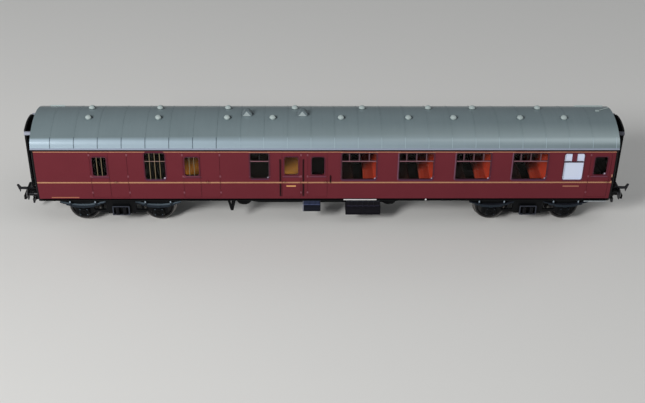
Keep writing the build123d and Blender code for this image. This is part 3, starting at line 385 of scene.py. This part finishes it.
# painted highlight on the slope above the shoulder, growing to the right
bright = ((SLOPE[1] - z) * 0.3).least((z - SLOPE[0]) * 0.5)
slope_highlight = (x - SLOPE_FROM) * SLOPE_RATE * bright * (bright > 0)
grey = roof.mix(slope_highlight, grey, srgb(156, 170, 172))

# painted highlight below the shoulder, fading out to the right
blur = (x - BLUR_FROM) * BLUR_RATE
shoulder_highlight = ((SHOULDER_TOP - 0.5 - z) / blur + 0.5).least(1.0) * (HIGHLIGHT_END - x) * HIGHLIGHT_FADE
grey = roof.mix(shoulder_highlight * (shoulder_highlight > 0), grey, srgb(162, 180, 192))

rib = x.math("PINGPONG", x - RIB_START, RIB_PITCH / 2)
low = z < SHOULDER_TOP
# painted shade line on the ribs at the left, painted highlight line on the others
grey = roof.mix((rib < RIB_SHADE_HALF) * low * (x < SHADED_RIBS_END), grey, srgb(78, 90, 98))
grey = roof.mix((rib < RIB_HIGHLIGHT_HALF) * low * (x > SHADED_RIBS_END), grey, srgb(160, 178, 186))

# painted light on the rib flanks above the shoulder that face right
painted_light_flank = (roof.facing(0) > 0.5) * (z > SHOULDER_TOP)
grey = roof.mix(painted_light_flank, grey, srgb(200, 214, 218))
# painted shadow behind the roof fittings
grey = roof.mix(painted_shadow(x, y), grey, srgb(70, 81, 84))
in_gutter = (abs(y) > GUTTER[0]) * (z < GUTTER[1])
roof.set(
    Base_Color=roof.mix(in_gutter, grey, srgb(150, 158, 176)),
    Roughness=0.2 + cloud * 0.08,
    Specular_IOR_Level=0.9,
    Specular_Tint=(0.82, 0.92, 1.0, 1.0),
    Normal=roof.bump(roof.noise(FINE, 2.0), 0.15, GRAIN_HEIGHT),
)
MATERIALS["roof_grey"] = roof.material
print("roof paint of", len(roof.tree.nodes), "nodes")

# %% [markdown]
# Ventilators, periscope hoods, rain strips and the filler lid are paler than the roof
# round them. The back of each ventilator and of each hood has a painted shade. Of each
# hood only a triangle on the front is pale, a painted highlight, and the rest is roof grey.
# It could be a piece of its own, but both have the same surface, so it is a mask. The
# gangway brackets at the two ends have the same kind of paint, the right hand one dirtier.

# %% Roof fittings and gangway brackets
HOOD_FOOT = 34.2           # where the front of a hood leaves the roof
HOOD_HIGHLIGHT = 2.4            # height of the painted highlight triangle
HOOD_SLANT = 1.25          # how fast the triangle gets lower to its sides


def vent_layers(x, y, z):
    # painted shade on the back of each ventilator
    return ((painted_shadow(x, y, 0.8, 0.6), (50, 62, 64)),)


def hood_layers(x, y, z):
    _, reach, places = ROOF_FITTINGS[-1]
    masks = []
    for place in places:
        across = abs(x - place)
        # outside the painted highlight triangle the hood is roof grey
        masks.append((across * HOOD_SLANT + z - HOOD_FOOT > HOOD_HIGHLIGHT) * (across < reach))
    return ((sum(masks), (104, 116, 120)), (painted_shadow(x, y), (58, 70, 72)))


def bracket_layers(x, y, z):
    return ((x > 0, (96, 96, 106)),)


vent_paint = moulded(
    "ventilator_paint", (180, 192, 190), (146, 160, 160), 0.42, layers=vent_layers
)
hood_paint = moulded("hood_paint", (176, 186, 186), (150, 162, 164), 0.42, layers=hood_layers)
strip_paint = moulded("strip_paint", (196, 208, 206), (176, 190, 190), 0.42)
MATERIALS["pale_bracket"] = moulded(
    "pale_bracket", (176, 180, 194), (146, 150, 164), 0.4,
    layers=bracket_layers, specular=BLACK_GLOSS,
)
print("ventilator, hood, strip and bracket paint")

# %% [markdown]
# The window frames are a dull purple brown, with a painted highlight along the transoms.
# The lavatory has white panes with a maroon panel between its two top lights. The bars of
# the luggage windows are brass on their narrow faces only. The masks find these places by
# their distance along the coach, because a frame is one moulding for a side.

# %% Window frames, luggage bars and door handles
LAVATORY = (105.6, 114.3)
LAVATORY_PANEL = (108.8, 111.1)
WIDE_WINDOWS = ((6.8, 22.4), (32.1, 47.7), (57.4, 73.0), (82.7, 98.3))
GUARD_WINDOW = (-33.3, -25.6)
FRAMED_WINDOWS = ((-33.7, -25.2), *WIDE_WINDOWS)
TRANSOM = 19.7             # height of the bar under the top lights
# painted highlight along the transom
TRANSOM_HIGHLIGHT = (TRANSOM - 0.12, TRANSOM + 0.14)
UNDER_TRANSOM = (TRANSOM - 0.7, TRANSOM - 0.1)
TOP_LIGHTS = (TRANSOM + 0.3, 23.5)
LUGGAGE_WINDOW = (-80, -71)
LUGGAGE_TRANSOM = (TRANSOM - 0.14, TRANSOM + 0.14)
BARS = (-100.93, -98.87, -77.75, -75.5, -73.25, -60.33, -58.27)
BAR_HALF = 0.12
HANDLES_BELOW = 10         # the door handles share the slot of the bars


def frame_layers(x, y, z):
    framed = sum(x.inside(x0 + 0.3, x1 - 0.3) for x0, x1 in FRAMED_WINDOWS)
    near = y < 0
    return (
        (framed * z.inside(*TOP_LIGHTS), (96, 68, 76)),
        (framed * z.inside(*TRANSOM_HIGHLIGHT), (148, 104, 112)),
        (near * x.inside(*GUARD_WINDOW) * z.inside(*TOP_LIGHTS), (18, 16, 18)),
        (near * (x > LAVATORY[0] - 0.2), (206, 213, 230)),
        (near * (x > LAVATORY[0]) * z.inside(*UNDER_TRANSOM), (44, 26, 40)),
        (near * x.inside(*LAVATORY_PANEL) * (z > UNDER_TRANSOM[1]), (96, 34, 48)),
    )


def bar_layers(x, y, z):
    upright = sum(abs(x - place) < BAR_HALF for place in BARS)
    transom = x.inside(*LUGGAGE_WINDOW) * z.inside(*LUGGAGE_TRANSOM)
    handles = z < HANDLES_BELOW
    return ((upright, (124, 108, 80)), (transom, (132, 106, 98)), (handles, (150, 112, 84)))


MATERIALS["window_frame"] = moulded(
    "window_frame", (66, 38, 48), (54, 30, 40), 0.32, layers=frame_layers
)
MATERIALS["brass_bars"] = moulded(
    "brass_bars", (16, 15, 13), (11, 10, 9), 0.4, layers=bar_layers
)
print(len(FRAMED_WINDOWS), "framed windows and", len(BARS), "bars on each side")

# %% [markdown]
# Glazing is clear plastic in front of a dark interior, so it has to let the lamps in.
# A true refracting glass would block them, so the panes mix a see-through shader with a
# thin gloss that grows at a slant. The lavatory panes are painted white behind.

# %% Clear moulded glazing
glazing = Paint("clear_glazing")
x, y, z = glazing.place()
clear = glazing.node("BsdfTransparent", sockets={"Color": (0.95, 0.96, 0.95, 1.0)})
gloss = glazing.node("BsdfAnisotropic", sockets={"Color": (1, 1, 1, 1), "Roughness": 0.08})
slant = glazing.node("Fresnel", sockets={"IOR": 1.16})
pane = glazing.node("MixShader", sockets={0: slant, 1: clear, 2: gloss})

white = glazing.mix(glazing.noise(200.0), srgb(204, 214, 236), srgb(214, 222, 240))
glazing.set(Base_Color=white, Roughness=0.3)
painted = x.inside(LAVATORY[0] - 0.5, LAVATORY[1] + 0.5) * (y < 0)
solid = Socket(glazing, glazing.shader.outputs[0])
surface = glazing.node("MixShader", sockets={0: painted, 1: pane, 2: solid})
glazing.feed(glazing.tree.nodes["Material Output"].inputs["Surface"], surface)
MATERIALS["clear_glazing"] = glazing.material
print("glazing of", len(glazing.tree.nodes), "nodes")

# %% [markdown]
# Inside, the floor is painted a dark green grey and the walls nearly black, which stands
# for the shade of the closed coach; the rooms that have it show the same ochre as the sides.
# The camera looks down through the windows, so it sees the floor and the benches rather
# than the walls. The benches that face left show red, with cushions in a darker red that
# is painted shade. Those that face right lie in shade and look brown, so they have a darker
# paint, which is painted shade.

# %% Interior mouldings
WALLS = (2.0, 27.2, 52.6, 77.9, 103.0)     # walls between the compartments
GUARD_WALLS = (-38, -9)
CUSHION = (5.6, 10.5)                      # reach of a cushion from its wall


def floor_layers(x, y, z):
    return [(x.inside(*span), colour) for span, colour in LIT_ROOMS]


def wall_layers(x, y, z):
    return ((x.inside(*GUARD_WALLS), (210, 150, 76)),)


def seat_layers(x, y, z):
    # painted shade: the cushions are darker than the backs
    shaded_cushions = sum(x.inside(wall - CUSHION[1], wall - CUSHION[0]) for wall in WALLS[1:])
    return ((shaded_cushions, (182, 64, 42)),)


# painted shade: the dark green grey floor, ochre in the lit rooms
MATERIALS["floor_tan"] = moulded(
    "floor_tan", (54, 57, 46), (40, 43, 34), 0.6, layers=floor_layers
)
# painted shade: the near-black walls, ochre round the guard
MATERIALS["partition_brown"] = moulded(
    "partition_brown", (34, 24, 18), (26, 18, 14), 0.55, layers=wall_layers
)
MATERIALS["seat_red"] = moulded(
    "seat_red", (212, 70, 42), (192, 60, 38), 0.55, layers=seat_layers
)
# painted shade: the benches that face right are brown
shaded_seat = moulded("seat_painted_shade", (78, 52, 43), (60, 39, 33), 0.55)
print("floor, wall and bench paint for", len(WALLS) - 1, "compartments")

# %% [markdown]
# The bogies are black plastic. The tops of the spring leaves carry a grey painted highlight,
# brightest on the left bogie, and the rims round the bolster springs are paler. The hanger
# links of the leaf springs are bright. Paler faces could be found from sharp edges, but on
# pieces of a millimetre that spreads over all of them, so place and facing pick the faces.

# %% Bogie paint
BOGIE_AT = 93.0
HALF_WHEELBASE = 17.0
AXLES = (BOGIE_AT - HALF_WHEELBASE, BOGIE_AT + HALF_WHEELBASE)
HANGER_LINK = 5.7
LINK_REACH = 14.105        # only the links stand out further than this from the centre
LINK_HALF, LINK_FOOT = 0.3, -4.0           # half width and lower end of the bright part
COILS_HALF = 5.0           # the bolster springs lie this far each side of the pivot
RIM_HALF, RIM_REACH = 4.4, 14.0            # their rims, and how far out these begin


def spring_layers(x, y, z):
    places = [axle + side * HANGER_LINK for axle in AXLES for side in (-1, 1)]
    links = sum(abs(abs(x) - place) < LINK_HALF for place in places)
    coils = abs(abs(x) - BOGIE_AT) < COILS_HALF
    spring_highlights = x.paint.facing(2) > 0.5
    return (
        # painted highlight on the faces that look up, brighter on the left bogie
        (spring_highlights, (44, 46, 54)),
        (spring_highlights * (x < 0), (122, 138, 150)),
        (coils, (16, 17, 22)),
        (links * (abs(y) > LINK_REACH) * (z > LINK_FOOT), (150, 164, 176)),
    )


def bogie_layers(x, y, z):
    rims = (abs(abs(x) - BOGIE_AT) < RIM_HALF) * (abs(y) > RIM_REACH)
    return ((rims, (54, 57, 66)),)


MATERIALS["spring_grey"] = moulded(
    "spring_grey", (36, 47, 58), (20, 26, 33), 0.28, metallic=0.3, layers=spring_layers
)
MATERIALS["bogie_black"] = moulded(
    "bogie_black", (16, 18, 20), (9, 9, 10), 0.42,
    layers=bogie_layers, specular=BLACK_GLOSS,
)
print("bogie paint, axles at", AXLES)

# %% [markdown]
# Under the floor each box has its own tone: the battery box has two painted highlight lines
# along its edges, and the regulator box is blue above a painted highlight line, with a
# painted highlight on its left end. The buffer heads are bare metal on black shanks, the
# footboards have a painted highlight along their edge, and the ends of the last handrail
# carry a painted highlight. Each is one mesh with straight borders between its colours, so
# a mask needs only a limit or two on where a point lies.

# %% Paint of boxes, buffers, footboards and handrails
# painted highlight lines along the battery box's edges
BATTERY_HIGHLIGHTS = ((-3.2, -2.9), (-5.75, -5.4))
# painted highlight line on the regulator box
REGULATOR_HIGHLIGHT = (-4.9, -4.6)
# painted highlight on the regulator box's left end
REGULATOR_HIGHLIGHT_END = -9.9
BUFFER_SHANK = 133.6       # the heads are further than this from the middle of the coach
# painted highlight on the footboards further out than this
FOOTBOARD_EDGE = 17.8
LAST_HANDRAIL = 120        # no other handrail is right of this
# painted highlight on the handrail ends, not on its middle
NO_HIGHLIGHT = (9.9, 11.9)       # its middle stays black


def battery_layers(x, y, z):
    upper, lower = [z.inside(*edge) for edge in BATTERY_HIGHLIGHTS]
    return ((upper, (44, 48, 56)), (lower, (44, 42, 58)))


def regulator_layers(x, y, z):
    return (
        (z > REGULATOR_HIGHLIGHT[1], (38, 46, 70)),
        (z.inside(*REGULATOR_HIGHLIGHT), (72, 80, 110)),
        (x < REGULATOR_HIGHLIGHT_END, (120, 122, 132)),
    )


def buffer_layers(x, y, z):
    return ((abs(x) < BUFFER_SHANK, (22, 22, 24)),)


def footboard_layers(x, y, z):
    return ((abs(y) > FOOTBOARD_EDGE, (150, 158, 162)),)


def handrail_layers(x, y, z):
    ends = (x > LAST_HANDRAIL) * (1 - z.inside(*NO_HIGHLIGHT))
    return ((ends, (200, 152, 124)),)


MATERIALS["blue_box"] = moulded(
    "blue_box", (14, 18, 32), (9, 12, 22), 0.3, layers=regulator_layers, specular=0.2
)
MATERIALS["buffer_dark"] = moulded(
    "buffer_dark", (92, 92, 96), (66, 66, 70), 0.35, metallic=0.6, layers=buffer_layers
)
battery_paint = moulded(
    "battery_paint", (18, 17, 25), (11, 10, 16), 0.4, layers=battery_layers, specular=0.15
)
footboard_paint = moulded(
    "footboard_paint", (15, 16, 18), (9, 9, 10), 0.5, layers=footboard_layers, specular=0.15
)
handrail_paint = moulded(
    "handrail_paint", (14, 14, 15), (8, 8, 9), 0.42,
    layers=handrail_layers, specular=BLACK_GLOSS,
)
print("box, buffer, footboard and handrail paint")

# %% [markdown]
# The wheels are turned metal with painted centres, so the mask depends on the radius. The
# Generated coordinates run from 0 to 1 across a mesh, which gives the radius on each
# wheelset without knowing where it is.

# %% Wheels
TREAD_FROM = 0.86          # share of the radius where the bare tread begins
SCRATCHES = 900.0          # cells per metre
SCRATCH_DEPTH = 0.00005    # in metres

wheel = Paint("wheel_dark")
spot = wheel.node("TexCoord", out="Generated")
across, high = wheel.part(spot, 0) - 0.5, wheel.part(spot, 2) - 0.5
radius = (across**2.0 + high**2.0) ** 0.5 * 2.0
tread = radius > TREAD_FROM
scratches = wheel.noise(SCRATCHES, 2.0)
wheel.set(
    Base_Color=wheel.mix(tread, srgb(22, 21, 22), srgb(128, 126, 124)),
    Metallic=tread,
    Roughness=0.5 - tread * 0.2 + scratches * 0.1,
    Normal=wheel.bump(scratches, 0.2, SCRATCH_DEPTH),
)
MATERIALS["wheel_dark"] = wheel.material
print("wheels bare outside", TREAD_FROM, "of their radius")

# %% [markdown]
# The record names a material slot for every CAD node. Seven nodes share a slot with others
# but have their own finish on the real model, so they are listed here. Only the material
# changes, never the mesh.

# %% Give each CAD node its finish
OWN_FINISH = {
    "battery_box": battery_paint,
    "footboards": footboard_paint,
    "door_handrails": handrail_paint,
    "roof_ventilators": vent_paint,
    "periscope_hoods": hood_paint,
    "roof_rain_strips": strip_paint,
    "roof_filler": vent_paint,
}
for part in frame["record"]["subparts"]:
    mesh = NODES[part["node"]].data
    mesh.materials.clear()
    mesh.materials.append(OWN_FINISH.get(part["node"]) or MATERIALS[part["material_slot"]])
print(len(MATERIALS), "finishes by slot and", len(OWN_FINISH), "nodes with their own")

# %% [markdown]
# Small details are gathered into one mesh for each finish, because a hundred objects for
# a hundred bolts would be slow and hard to check. A Shape collects the points and faces
# of many little forms, then becomes one Blender object that rides on a body.

# %% A mesh gathered from many small forms
STRIP_STEPS = 4            # a strip bends with the side in this many steps
STRIP_ROOT = 0.05          # and reaches this far into the side


class Shape:
    """Small forms in millimetres, gathered into one mesh."""

    def __init__(self):
        self.mesh = bmesh.new()

    def point(self, *spot):
        return self.mesh.verts.new(Vector(spot) * MM)

    def join(self, low, high):
        """Faces between two rings with the same number of points."""
        for i in range(len(low)):
            j = (i + 1) % len(low)
            self.mesh.faces.new((low[i], low[j], high[j], high[i]))

    def sweep(self, section, x0, x1):
        """Prism of a closed section of (y, z) from x0 to x1."""
        ends = [[self.point(x, y, z) for y, z in section] for x in (x0, x1)]
        for end in ends:
            self.mesh.faces.new(end)
        self.join(*ends)

    def on_side(self, side, x0, x1, z0, z1, proud=0.03):
        """Thin strip on the coach side, from z0 to z1 above its foot."""
        heights = [z0 + (z1 - z0) * i / STRIP_STEPS for i in range(STRIP_STEPS + 1)]
        outer = [(side * (side_at(z) + proud), z + FOOT) for z in heights]
        inner = [(side * (side_at(z) - STRIP_ROOT), z + FOOT) for z in reversed(heights)]
        self.sweep(outer + inner, x0, x1)

    def block(self, low, high, bevel):
        """Block between two corners with rounded edges."""
        size = Vector(high) - Vector(low)
        middle = (Vector(high) + Vector(low)) / 2
        place = Matrix.Translation(middle * MM) @ Matrix.Diagonal((*size * MM, 1))
        verts = bmesh.ops.create_cube(self.mesh, matrix=place)["verts"]
        edges = list({edge for vert in verts for edge in vert.link_edges})
        bmesh.ops.bevel(
            self.mesh, geom=edges, offset=bevel * MM, segments=2, affect="EDGES", profile=0.5
        )

    def turned(self, centre, out, profile, sides=12):
        """Form turned about Y from (radius, reach) pairs, the last one on the axis."""
        cx, cy, cz = centre
        angles = [2 * math.pi * i / sides for i in range(sides)]
        circle = [(math.cos(angle), math.sin(angle)) for angle in angles]
        rings = [
            [self.point(cx + radius * u, cy + out * reach, cz + radius * v) for u, v in circle]
            for radius, reach in profile[:-1]
        ]
        for low, high in zip(rings, rings[1:]):
            self.join(low, high)
        tip = self.point(cx, cy + out * profile[-1][1], cz)
        for i, vert in enumerate(rings[-1]):
            self.mesh.faces.new((vert, rings[-1][(i + 1) % sides], tip))

    def finish(self, name, material, slot, body="coach_body", smooth=False):
        """Make the Blender object, and say what it rides on. The slot is not used."""
        bmesh.ops.recalc_face_normals(self.mesh, faces=self.mesh.faces)
        mesh = bpy.data.meshes.new(name)
        self.mesh.to_mesh(mesh)
        self.mesh.free()
        mesh.materials.append(material)
        if smooth:
            mesh.shade_smooth()
        thing = bpy.data.objects.new(name, mesh)
        bpy.context.scene.collection.objects.link(thing)
        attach(thing, body)
        print(name, len(mesh.polygons), "faces")


# %% [markdown]
# The CAD holds the benches as plain profiles, so they are made here as the real mouldings
# look: a toe recess, a cushion with a rolled front and a back that leans, pinched in
# where one place ends and the next begins. A loft does this well: one section is repeated
# along the bench and drawn in at each pinch.

# %% Compartment benches
WALL_HALF = 0.35
BENCH = (
    # distance from the wall, height above the floor, how far it is drawn in at a pinch
    (0.0, 0.0, 0.0),
    (8.4, 0.0, 0.0),
    (8.5, 1.7, 0.0),
    (9.6, 2.2, 0.1),
    (10.0, 3.0, 0.35),
    (10.0, 4.3, 0.4),
    (9.5, 5.0, 0.4),
    (8.0, 5.2, 0.3),
    (5.6, 4.9, 0.2),
    (5.0, 5.5, 0.2),
    (4.6, 8.0, 0.35),
    (3.9, 11.0, 0.35),
    (3.1, 13.2, 0.3),
    (2.2, 13.8, 0.1),
    (0.0, 13.8, 0.0),
)
PLACES = 3
PINCHES = ((0, 1), (0.06, 0.25), (0.2, 0), (0.8, 0), (0.94, 0.25))   # share of a place, pinch

seat_low, seat_high = [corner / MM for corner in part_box("compartment_seats")]
pitch = (seat_high.y - seat_low.y) / PLACES
stations = [
    (seat_low.y + pitch * (place + share), pinch)
    for place in range(PLACES)
    for share, pinch in PINCHES
]
stations.append((seat_high.y, 1))


def add_bench(shape, wall, facing):
    """Bench on one side of a wall, from the window to the corridor."""
    rows = []
    for y, pinch in stations:
        depths = [out - drawn * pinch for out, _, drawn in BENCH]
        heights = [seat_low.z + height for _, height, _ in BENCH]
        spots = [(wall + facing * (WALL_HALF + d), y, h) for d, h in zip(depths, heights)]
        rows.append([shape.point(*spot) for spot in spots])
    for low, high in zip(rows, rows[1:]):
        shape.join(low, high)
    shape.mesh.faces.new(rows[0])
    shape.mesh.faces.new(rows[-1])


red_benches, shaded_benches = Shape(), Shape()
for left, right in zip(WALLS, WALLS[1:]):
    add_bench(shaded_benches, left, 1)
    add_bench(red_benches, right, -1)
red_benches.finish("benches_orange", MATERIALS["seat_red"], "seat_red")
shaded_benches.finish("benches_painted_shade", shaded_seat, "seat_red")
for bench in ("benches_orange", "benches_painted_shade"):
    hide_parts("compartment_seats")

# %% [markdown]
# The coach is lined in straw and black: two straw lines with black between them under
# the windows, and one straw line with black above it under the roof, widened upwards into
# a painted shadow under the gutter. Real lining is a printed film or a ruled line of
# paint. A texture of it would blur when seen close, so each line is a strip three
# hundredths of a millimetre thick that follows the side.

# %% Lining
DOOR_LINES = (-104.0, -95.9, -87.7, -63.2, -55.6, -47.0, -19.5, -11.2, -8.1, 0.6, 117.3, 126.6)
LINE_GAP = 0.12            # half of the break at a door line
WAIST_LINES = ((8.5, 8.71), (8.86, 9.07))
WAIST_BLACK = (8.71, 8.86)
TOP_LINE = (24.11, 24.29)
# black line with a painted shadow of the gutter above it
TOP_BLACK_AND_SHADOW = (24.6, 25.25)
LINE_PROUD = 0.03
BLACK_PROUD = 0.025
RIM_WIDTH = 0.5            # rims of the windows, which the top line crosses
RIM_PROUD = 0.15

stops = [-PAINTED_END, *DOOR_LINES, PAINTED_END]
runs = [(a + LINE_GAP, b - LINE_GAP) for a, b in zip(stops, stops[1:])]
straw, black = Shape(), Shape()
for side in (-1, 1):
    for x0, x1 in runs:
        for z0, z1 in WAIST_LINES:
            straw.on_side(side, x0, x1, z0, z1, LINE_PROUD)
        black.on_side(side, x0, x1, *WAIST_BLACK, BLACK_PROUD)
    straw.on_side(side, -PAINTED_END, PAINTED_END, *TOP_LINE, LINE_PROUD)
    for x0, x1 in FRAMED_WINDOWS:
        ends = (x0 - RIM_WIDTH, x1 + RIM_WIDTH)
        straw.on_side(side, *ends, *TOP_LINE, RIM_PROUD + LINE_PROUD)
    black.on_side(side, -PAINTED_END, PAINTED_END, *TOP_BLACK_AND_SHADOW, BLACK_PROUD)
straw_paint = moulded("straw_lining", (220, 166, 124), (206, 152, 110), 0.4, 0.05)
black_paint = moulded("black_lining", (34, 22, 24), (24, 16, 18), 0.4, 0.05)
straw.finish("lining_straw", straw_paint, "maroon_body")
black.finish("lining_black", black_paint, "maroon_body")

# %% [markdown]
# A few short bars of paint stand on the near side, and a long white strip and a dot on the
# solebar below it. The bars follow the curve of the side, so they are made as the lining
# is. The strip and the dot lie on a flat face, where a block and a turned disc will do.

# %% Blank marks
MARKS = (
    # name, colour, x from, to, z from, to
    ("mark_corner", (170, 108, 82), -122.8, -110.5, 0.45, 0.95),
    ("mark_guard", (216, 160, 104), -17.6, -13.4, 6.55, 7.25),
    ("mark_number", (164, 108, 86), 106.4, 113.7, 6.4, 7.1),
)
for name, colour, x0, x1, z0, z1 in MARKS:
    mark = Shape()
    mark.on_side(-1, x0, x1, z0, z1)
    shade = tuple(v - 10 for v in colour)
    mark.finish(name, moulded(name, colour, shade, 0.45, 0.05), "maroon_body")

SOLEBAR_FACE = -15.35
STRIP = ((8.2, 13.1), (23.1, 13.6))        # corners, as x and height above the wheel treads
DOT = (45.5, 13.4)
DOT_PROFILE = ((0.42, -0.1), (0.42, 0.03), (0.36, 0.05), (0, 0.05))

(x0, z0), (x1, z1) = STRIP
plate = Shape()
plate.block(
    (x0, SOLEBAR_FACE - 0.04, z0 + FLANGE), (x1, SOLEBAR_FACE + 0.1, z1 + FLANGE), 0.015
)
plate.turned((DOT[0], SOLEBAR_FACE, DOT[1] + FLANGE), -1, DOT_PROFILE, 20)
white_paint = moulded("white_marking", (232, 232, 232), (220, 220, 222), 0.45, 0.05)
plate.finish("solebar_marks", white_paint, "underframe_black")

# %% [markdown]
# At the lower right corner of a window the clear moulding ends in a small lug that shines
# like a glass bead. A pale dot in the paint would stay dull, so it is a block at the level
# of the pane, whose rounded edges catch the lamps. Its pale colour is a painted highlight.

# %% Glazing lugs
LUG = 0.75
LUG_BACK, LUG_FRONT = 0.4, 0.08            # below the surface of the side
LUGS = (
    # x and height above the foot of the sides
    (-71.9, 10.6),
    (-26.1, 10.9),
    *[(x1 - 0.9, 10.4) for _, x1 in WIDE_WINDOWS],
    (124.0, 12.9),
)
lugs = Shape()
for side in (-1, 1):
    for x, z in LUGS:
        y0, y1 = sorted((side * (side_at(z) - LUG_BACK), side * (side_at(z) - LUG_FRONT)))
        lugs.block((x, y0, z + FOOT), (x + LUG, y1, z + FOOT + LUG), 0.12)
lug_highlight_paint = moulded("lug_painted_highlight", (186, 172, 190), (166, 152, 172), 0.15, 0.05)
lugs.finish("glazing_lugs", lug_highlight_paint, "clear_glazing", smooth=True)

# %% [markdown]
# Four bolts hold the cover of each axlebox. They are domed heads of half a millimetre
# that swivel with their bogie. A ring of twelve points at each step of their profile looks
# round at that size, and smooth shading hides its corners.

# %% Axlebox bolts
AXLEBOX_FACE = 14.2
AXLEBOX_HEIGHT = 5.9 + FLANGE
BOLT = ((0.27, -0.1), (0.27, 0.06), (0.2, 0.17), (0.0, 0.21))
BOLT_PATTERN = ((-1.6, -1.35), (1.6, -1.35), (-1.6, 1.35), (1.6, 1.35))

for end, way in (("brake", -1), ("vestibule", 1)):
    bolts = Shape()
    for axle in AXLES:
        for side in (-1, 1):
            for dx, dz in BOLT_PATTERN:
                centre = (way * axle + dx, side * AXLEBOX_FACE, AXLEBOX_HEIGHT + dz)
                bolts.turned(centre, side, BOLT)
    bolts.finish(
        f"axlebox_bolts_{end}", MATERIALS["spring_grey"], "bogie_black", f"bogie_{end}",
        smooth=True,
    )

# %% [markdown]
# The photo was taken from above one side with a mild telephoto lens. Its position, turn
# and lens were solved from the windows, doors and wheels, whose places are known.

# %% Camera
IMAGE_WIDTH = 645          # pixels
FOCAL_PIXELS = 1090.2
SENSOR = 36.0
CAMERA_PLACE = Vector((-11.9, -434.7, 274.7 + FLANGE)) * MM
PITCH, YAW, ROLL = (math.radians(a) for a in (32.02, 1.44, 0.70))

flat = math.cos(PITCH)
ahead = Vector((math.sin(YAW) * flat, math.cos(YAW) * flat, -math.sin(PITCH)))
level = Vector((math.cos(YAW), -math.sin(YAW), 0))
over = level.cross(ahead)
right = level * math.cos(ROLL) + over * math.sin(ROLL)
up = over * math.cos(ROLL) - level * math.sin(ROLL)
turn = Matrix((right, up, -ahead)).transposed().to_4x4()

camera = bpy.data.objects.new("camera", bpy.data.cameras.new("camera"))
camera.data.sensor_width = SENSOR
camera.data.lens = FOCAL_PIXELS / IMAGE_WIDTH * SENSOR
camera.data.clip_start = 0.01
camera.matrix_world = Matrix.Translation(CAMERA_PLACE) @ turn
bpy.context.scene.collection.objects.link(camera)
bpy.context.scene.camera = camera
print("lens", round(camera.data.lens, 1), "mm")

# %% [markdown]
# The floor is one large pale sheet. Straight under the key lamp it would glare white in
# the views from behind, so its paint gets darker there, at the rate at which the lamp's
# light grows.

# %% Floor
KEY_LAMP = (-0.50, -0.60, 0.45)            # place in metres
FLOOR_HALF = 2.5                           # metres
FLOOR_DROP = 0.00005                       # metres below the wheels
GLARE_POWER = -2.2

corners = [
    (x * FLOOR_HALF, y * FLOOR_HALF, -FLOOR_DROP) for x, y in ((-1, -1), (1, -1), (1, 1), (-1, 1))
]
floor_mesh = bpy.data.meshes.new("floor")
floor_mesh.from_pydata(corners, [], [(0, 1, 2, 3)])
floor = bpy.data.objects.new("floor", floor_mesh)
bpy.context.scene.collection.objects.link(floor)

floor_paint = Paint("floor")
x, y, z = floor_paint.place()
across, along = x - KEY_LAMP[0] / MM, y - KEY_LAMP[1] / MM
spread = (across * across + along * along) * (MM / KEY_LAMP[2]) ** 2
glare = (spread + 1.0) ** GLARE_POWER
floor_paint.set(
    Base_Color=floor_paint.mix(glare, srgb(228, 227, 224), srgb(96, 96, 94)), Roughness=0.9
)
floor_mesh.materials.append(floor_paint.material)
print("floor", 2 * FLOOR_HALF, "m wide")

# %% [markdown]
# The main light comes low from the left front, as the shadows of the ventilators show. It
# is close, so the coach gets darker towards the right, as in the photo. A wide weak lamp
# on the right softens its shadows, two more behind the ends keep the far side readable,
# and the pale world fills in the rest.

# %% Lamps and background
LAMPS = (
    # name, place in metres, size in metres, watts
    ("key", KEY_LAMP, 0.22, 6.2),
    ("fill", (0.55, -0.45, 0.75), 0.8, 2.0),
    ("left_back", (-1.0, 0.5, 0.5), 0.6, 1.5),
    ("right_back", (1.0, 0.5, 0.5), 0.6, 1.5),
)
WORLD_LIGHT, WORLD_SEEN = 0.17, 0.4        # strength as a light, and as the camera sees it

for name, place, size, watts in LAMPS:
    lamp = bpy.data.objects.new(name, bpy.data.lights.new(name, "AREA"))
    lamp.data.size = size
    lamp.data.energy = watts
    lamp.location = place
    lamp.rotation_euler = (-Vector(place)).to_track_quat("-Z", "Y").to_euler()
    bpy.context.scene.collection.objects.link(lamp)

world = bpy.data.worlds.new("studio")
world.use_nodes = True
nodes, links = world.node_tree.nodes, world.node_tree.links
background = nodes["Background"]
background.inputs["Color"].default_value = (0.82, 0.86, 0.90, 1)
rays = nodes.new("ShaderNodeLightPath")
strength = nodes.new("ShaderNodeMapRange")
strength.inputs["To Min"].default_value = WORLD_LIGHT
strength.inputs["To Max"].default_value = WORLD_SEEN
links.new(rays.outputs["Is Camera Ray"], strength.inputs["Value"])
links.new(strength.outputs["Result"], background.inputs["Strength"])
bpy.context.scene.world = world
bpy.context.scene.view_settings.view_transform = "Standard"
print(len(LAMPS), "lamps")
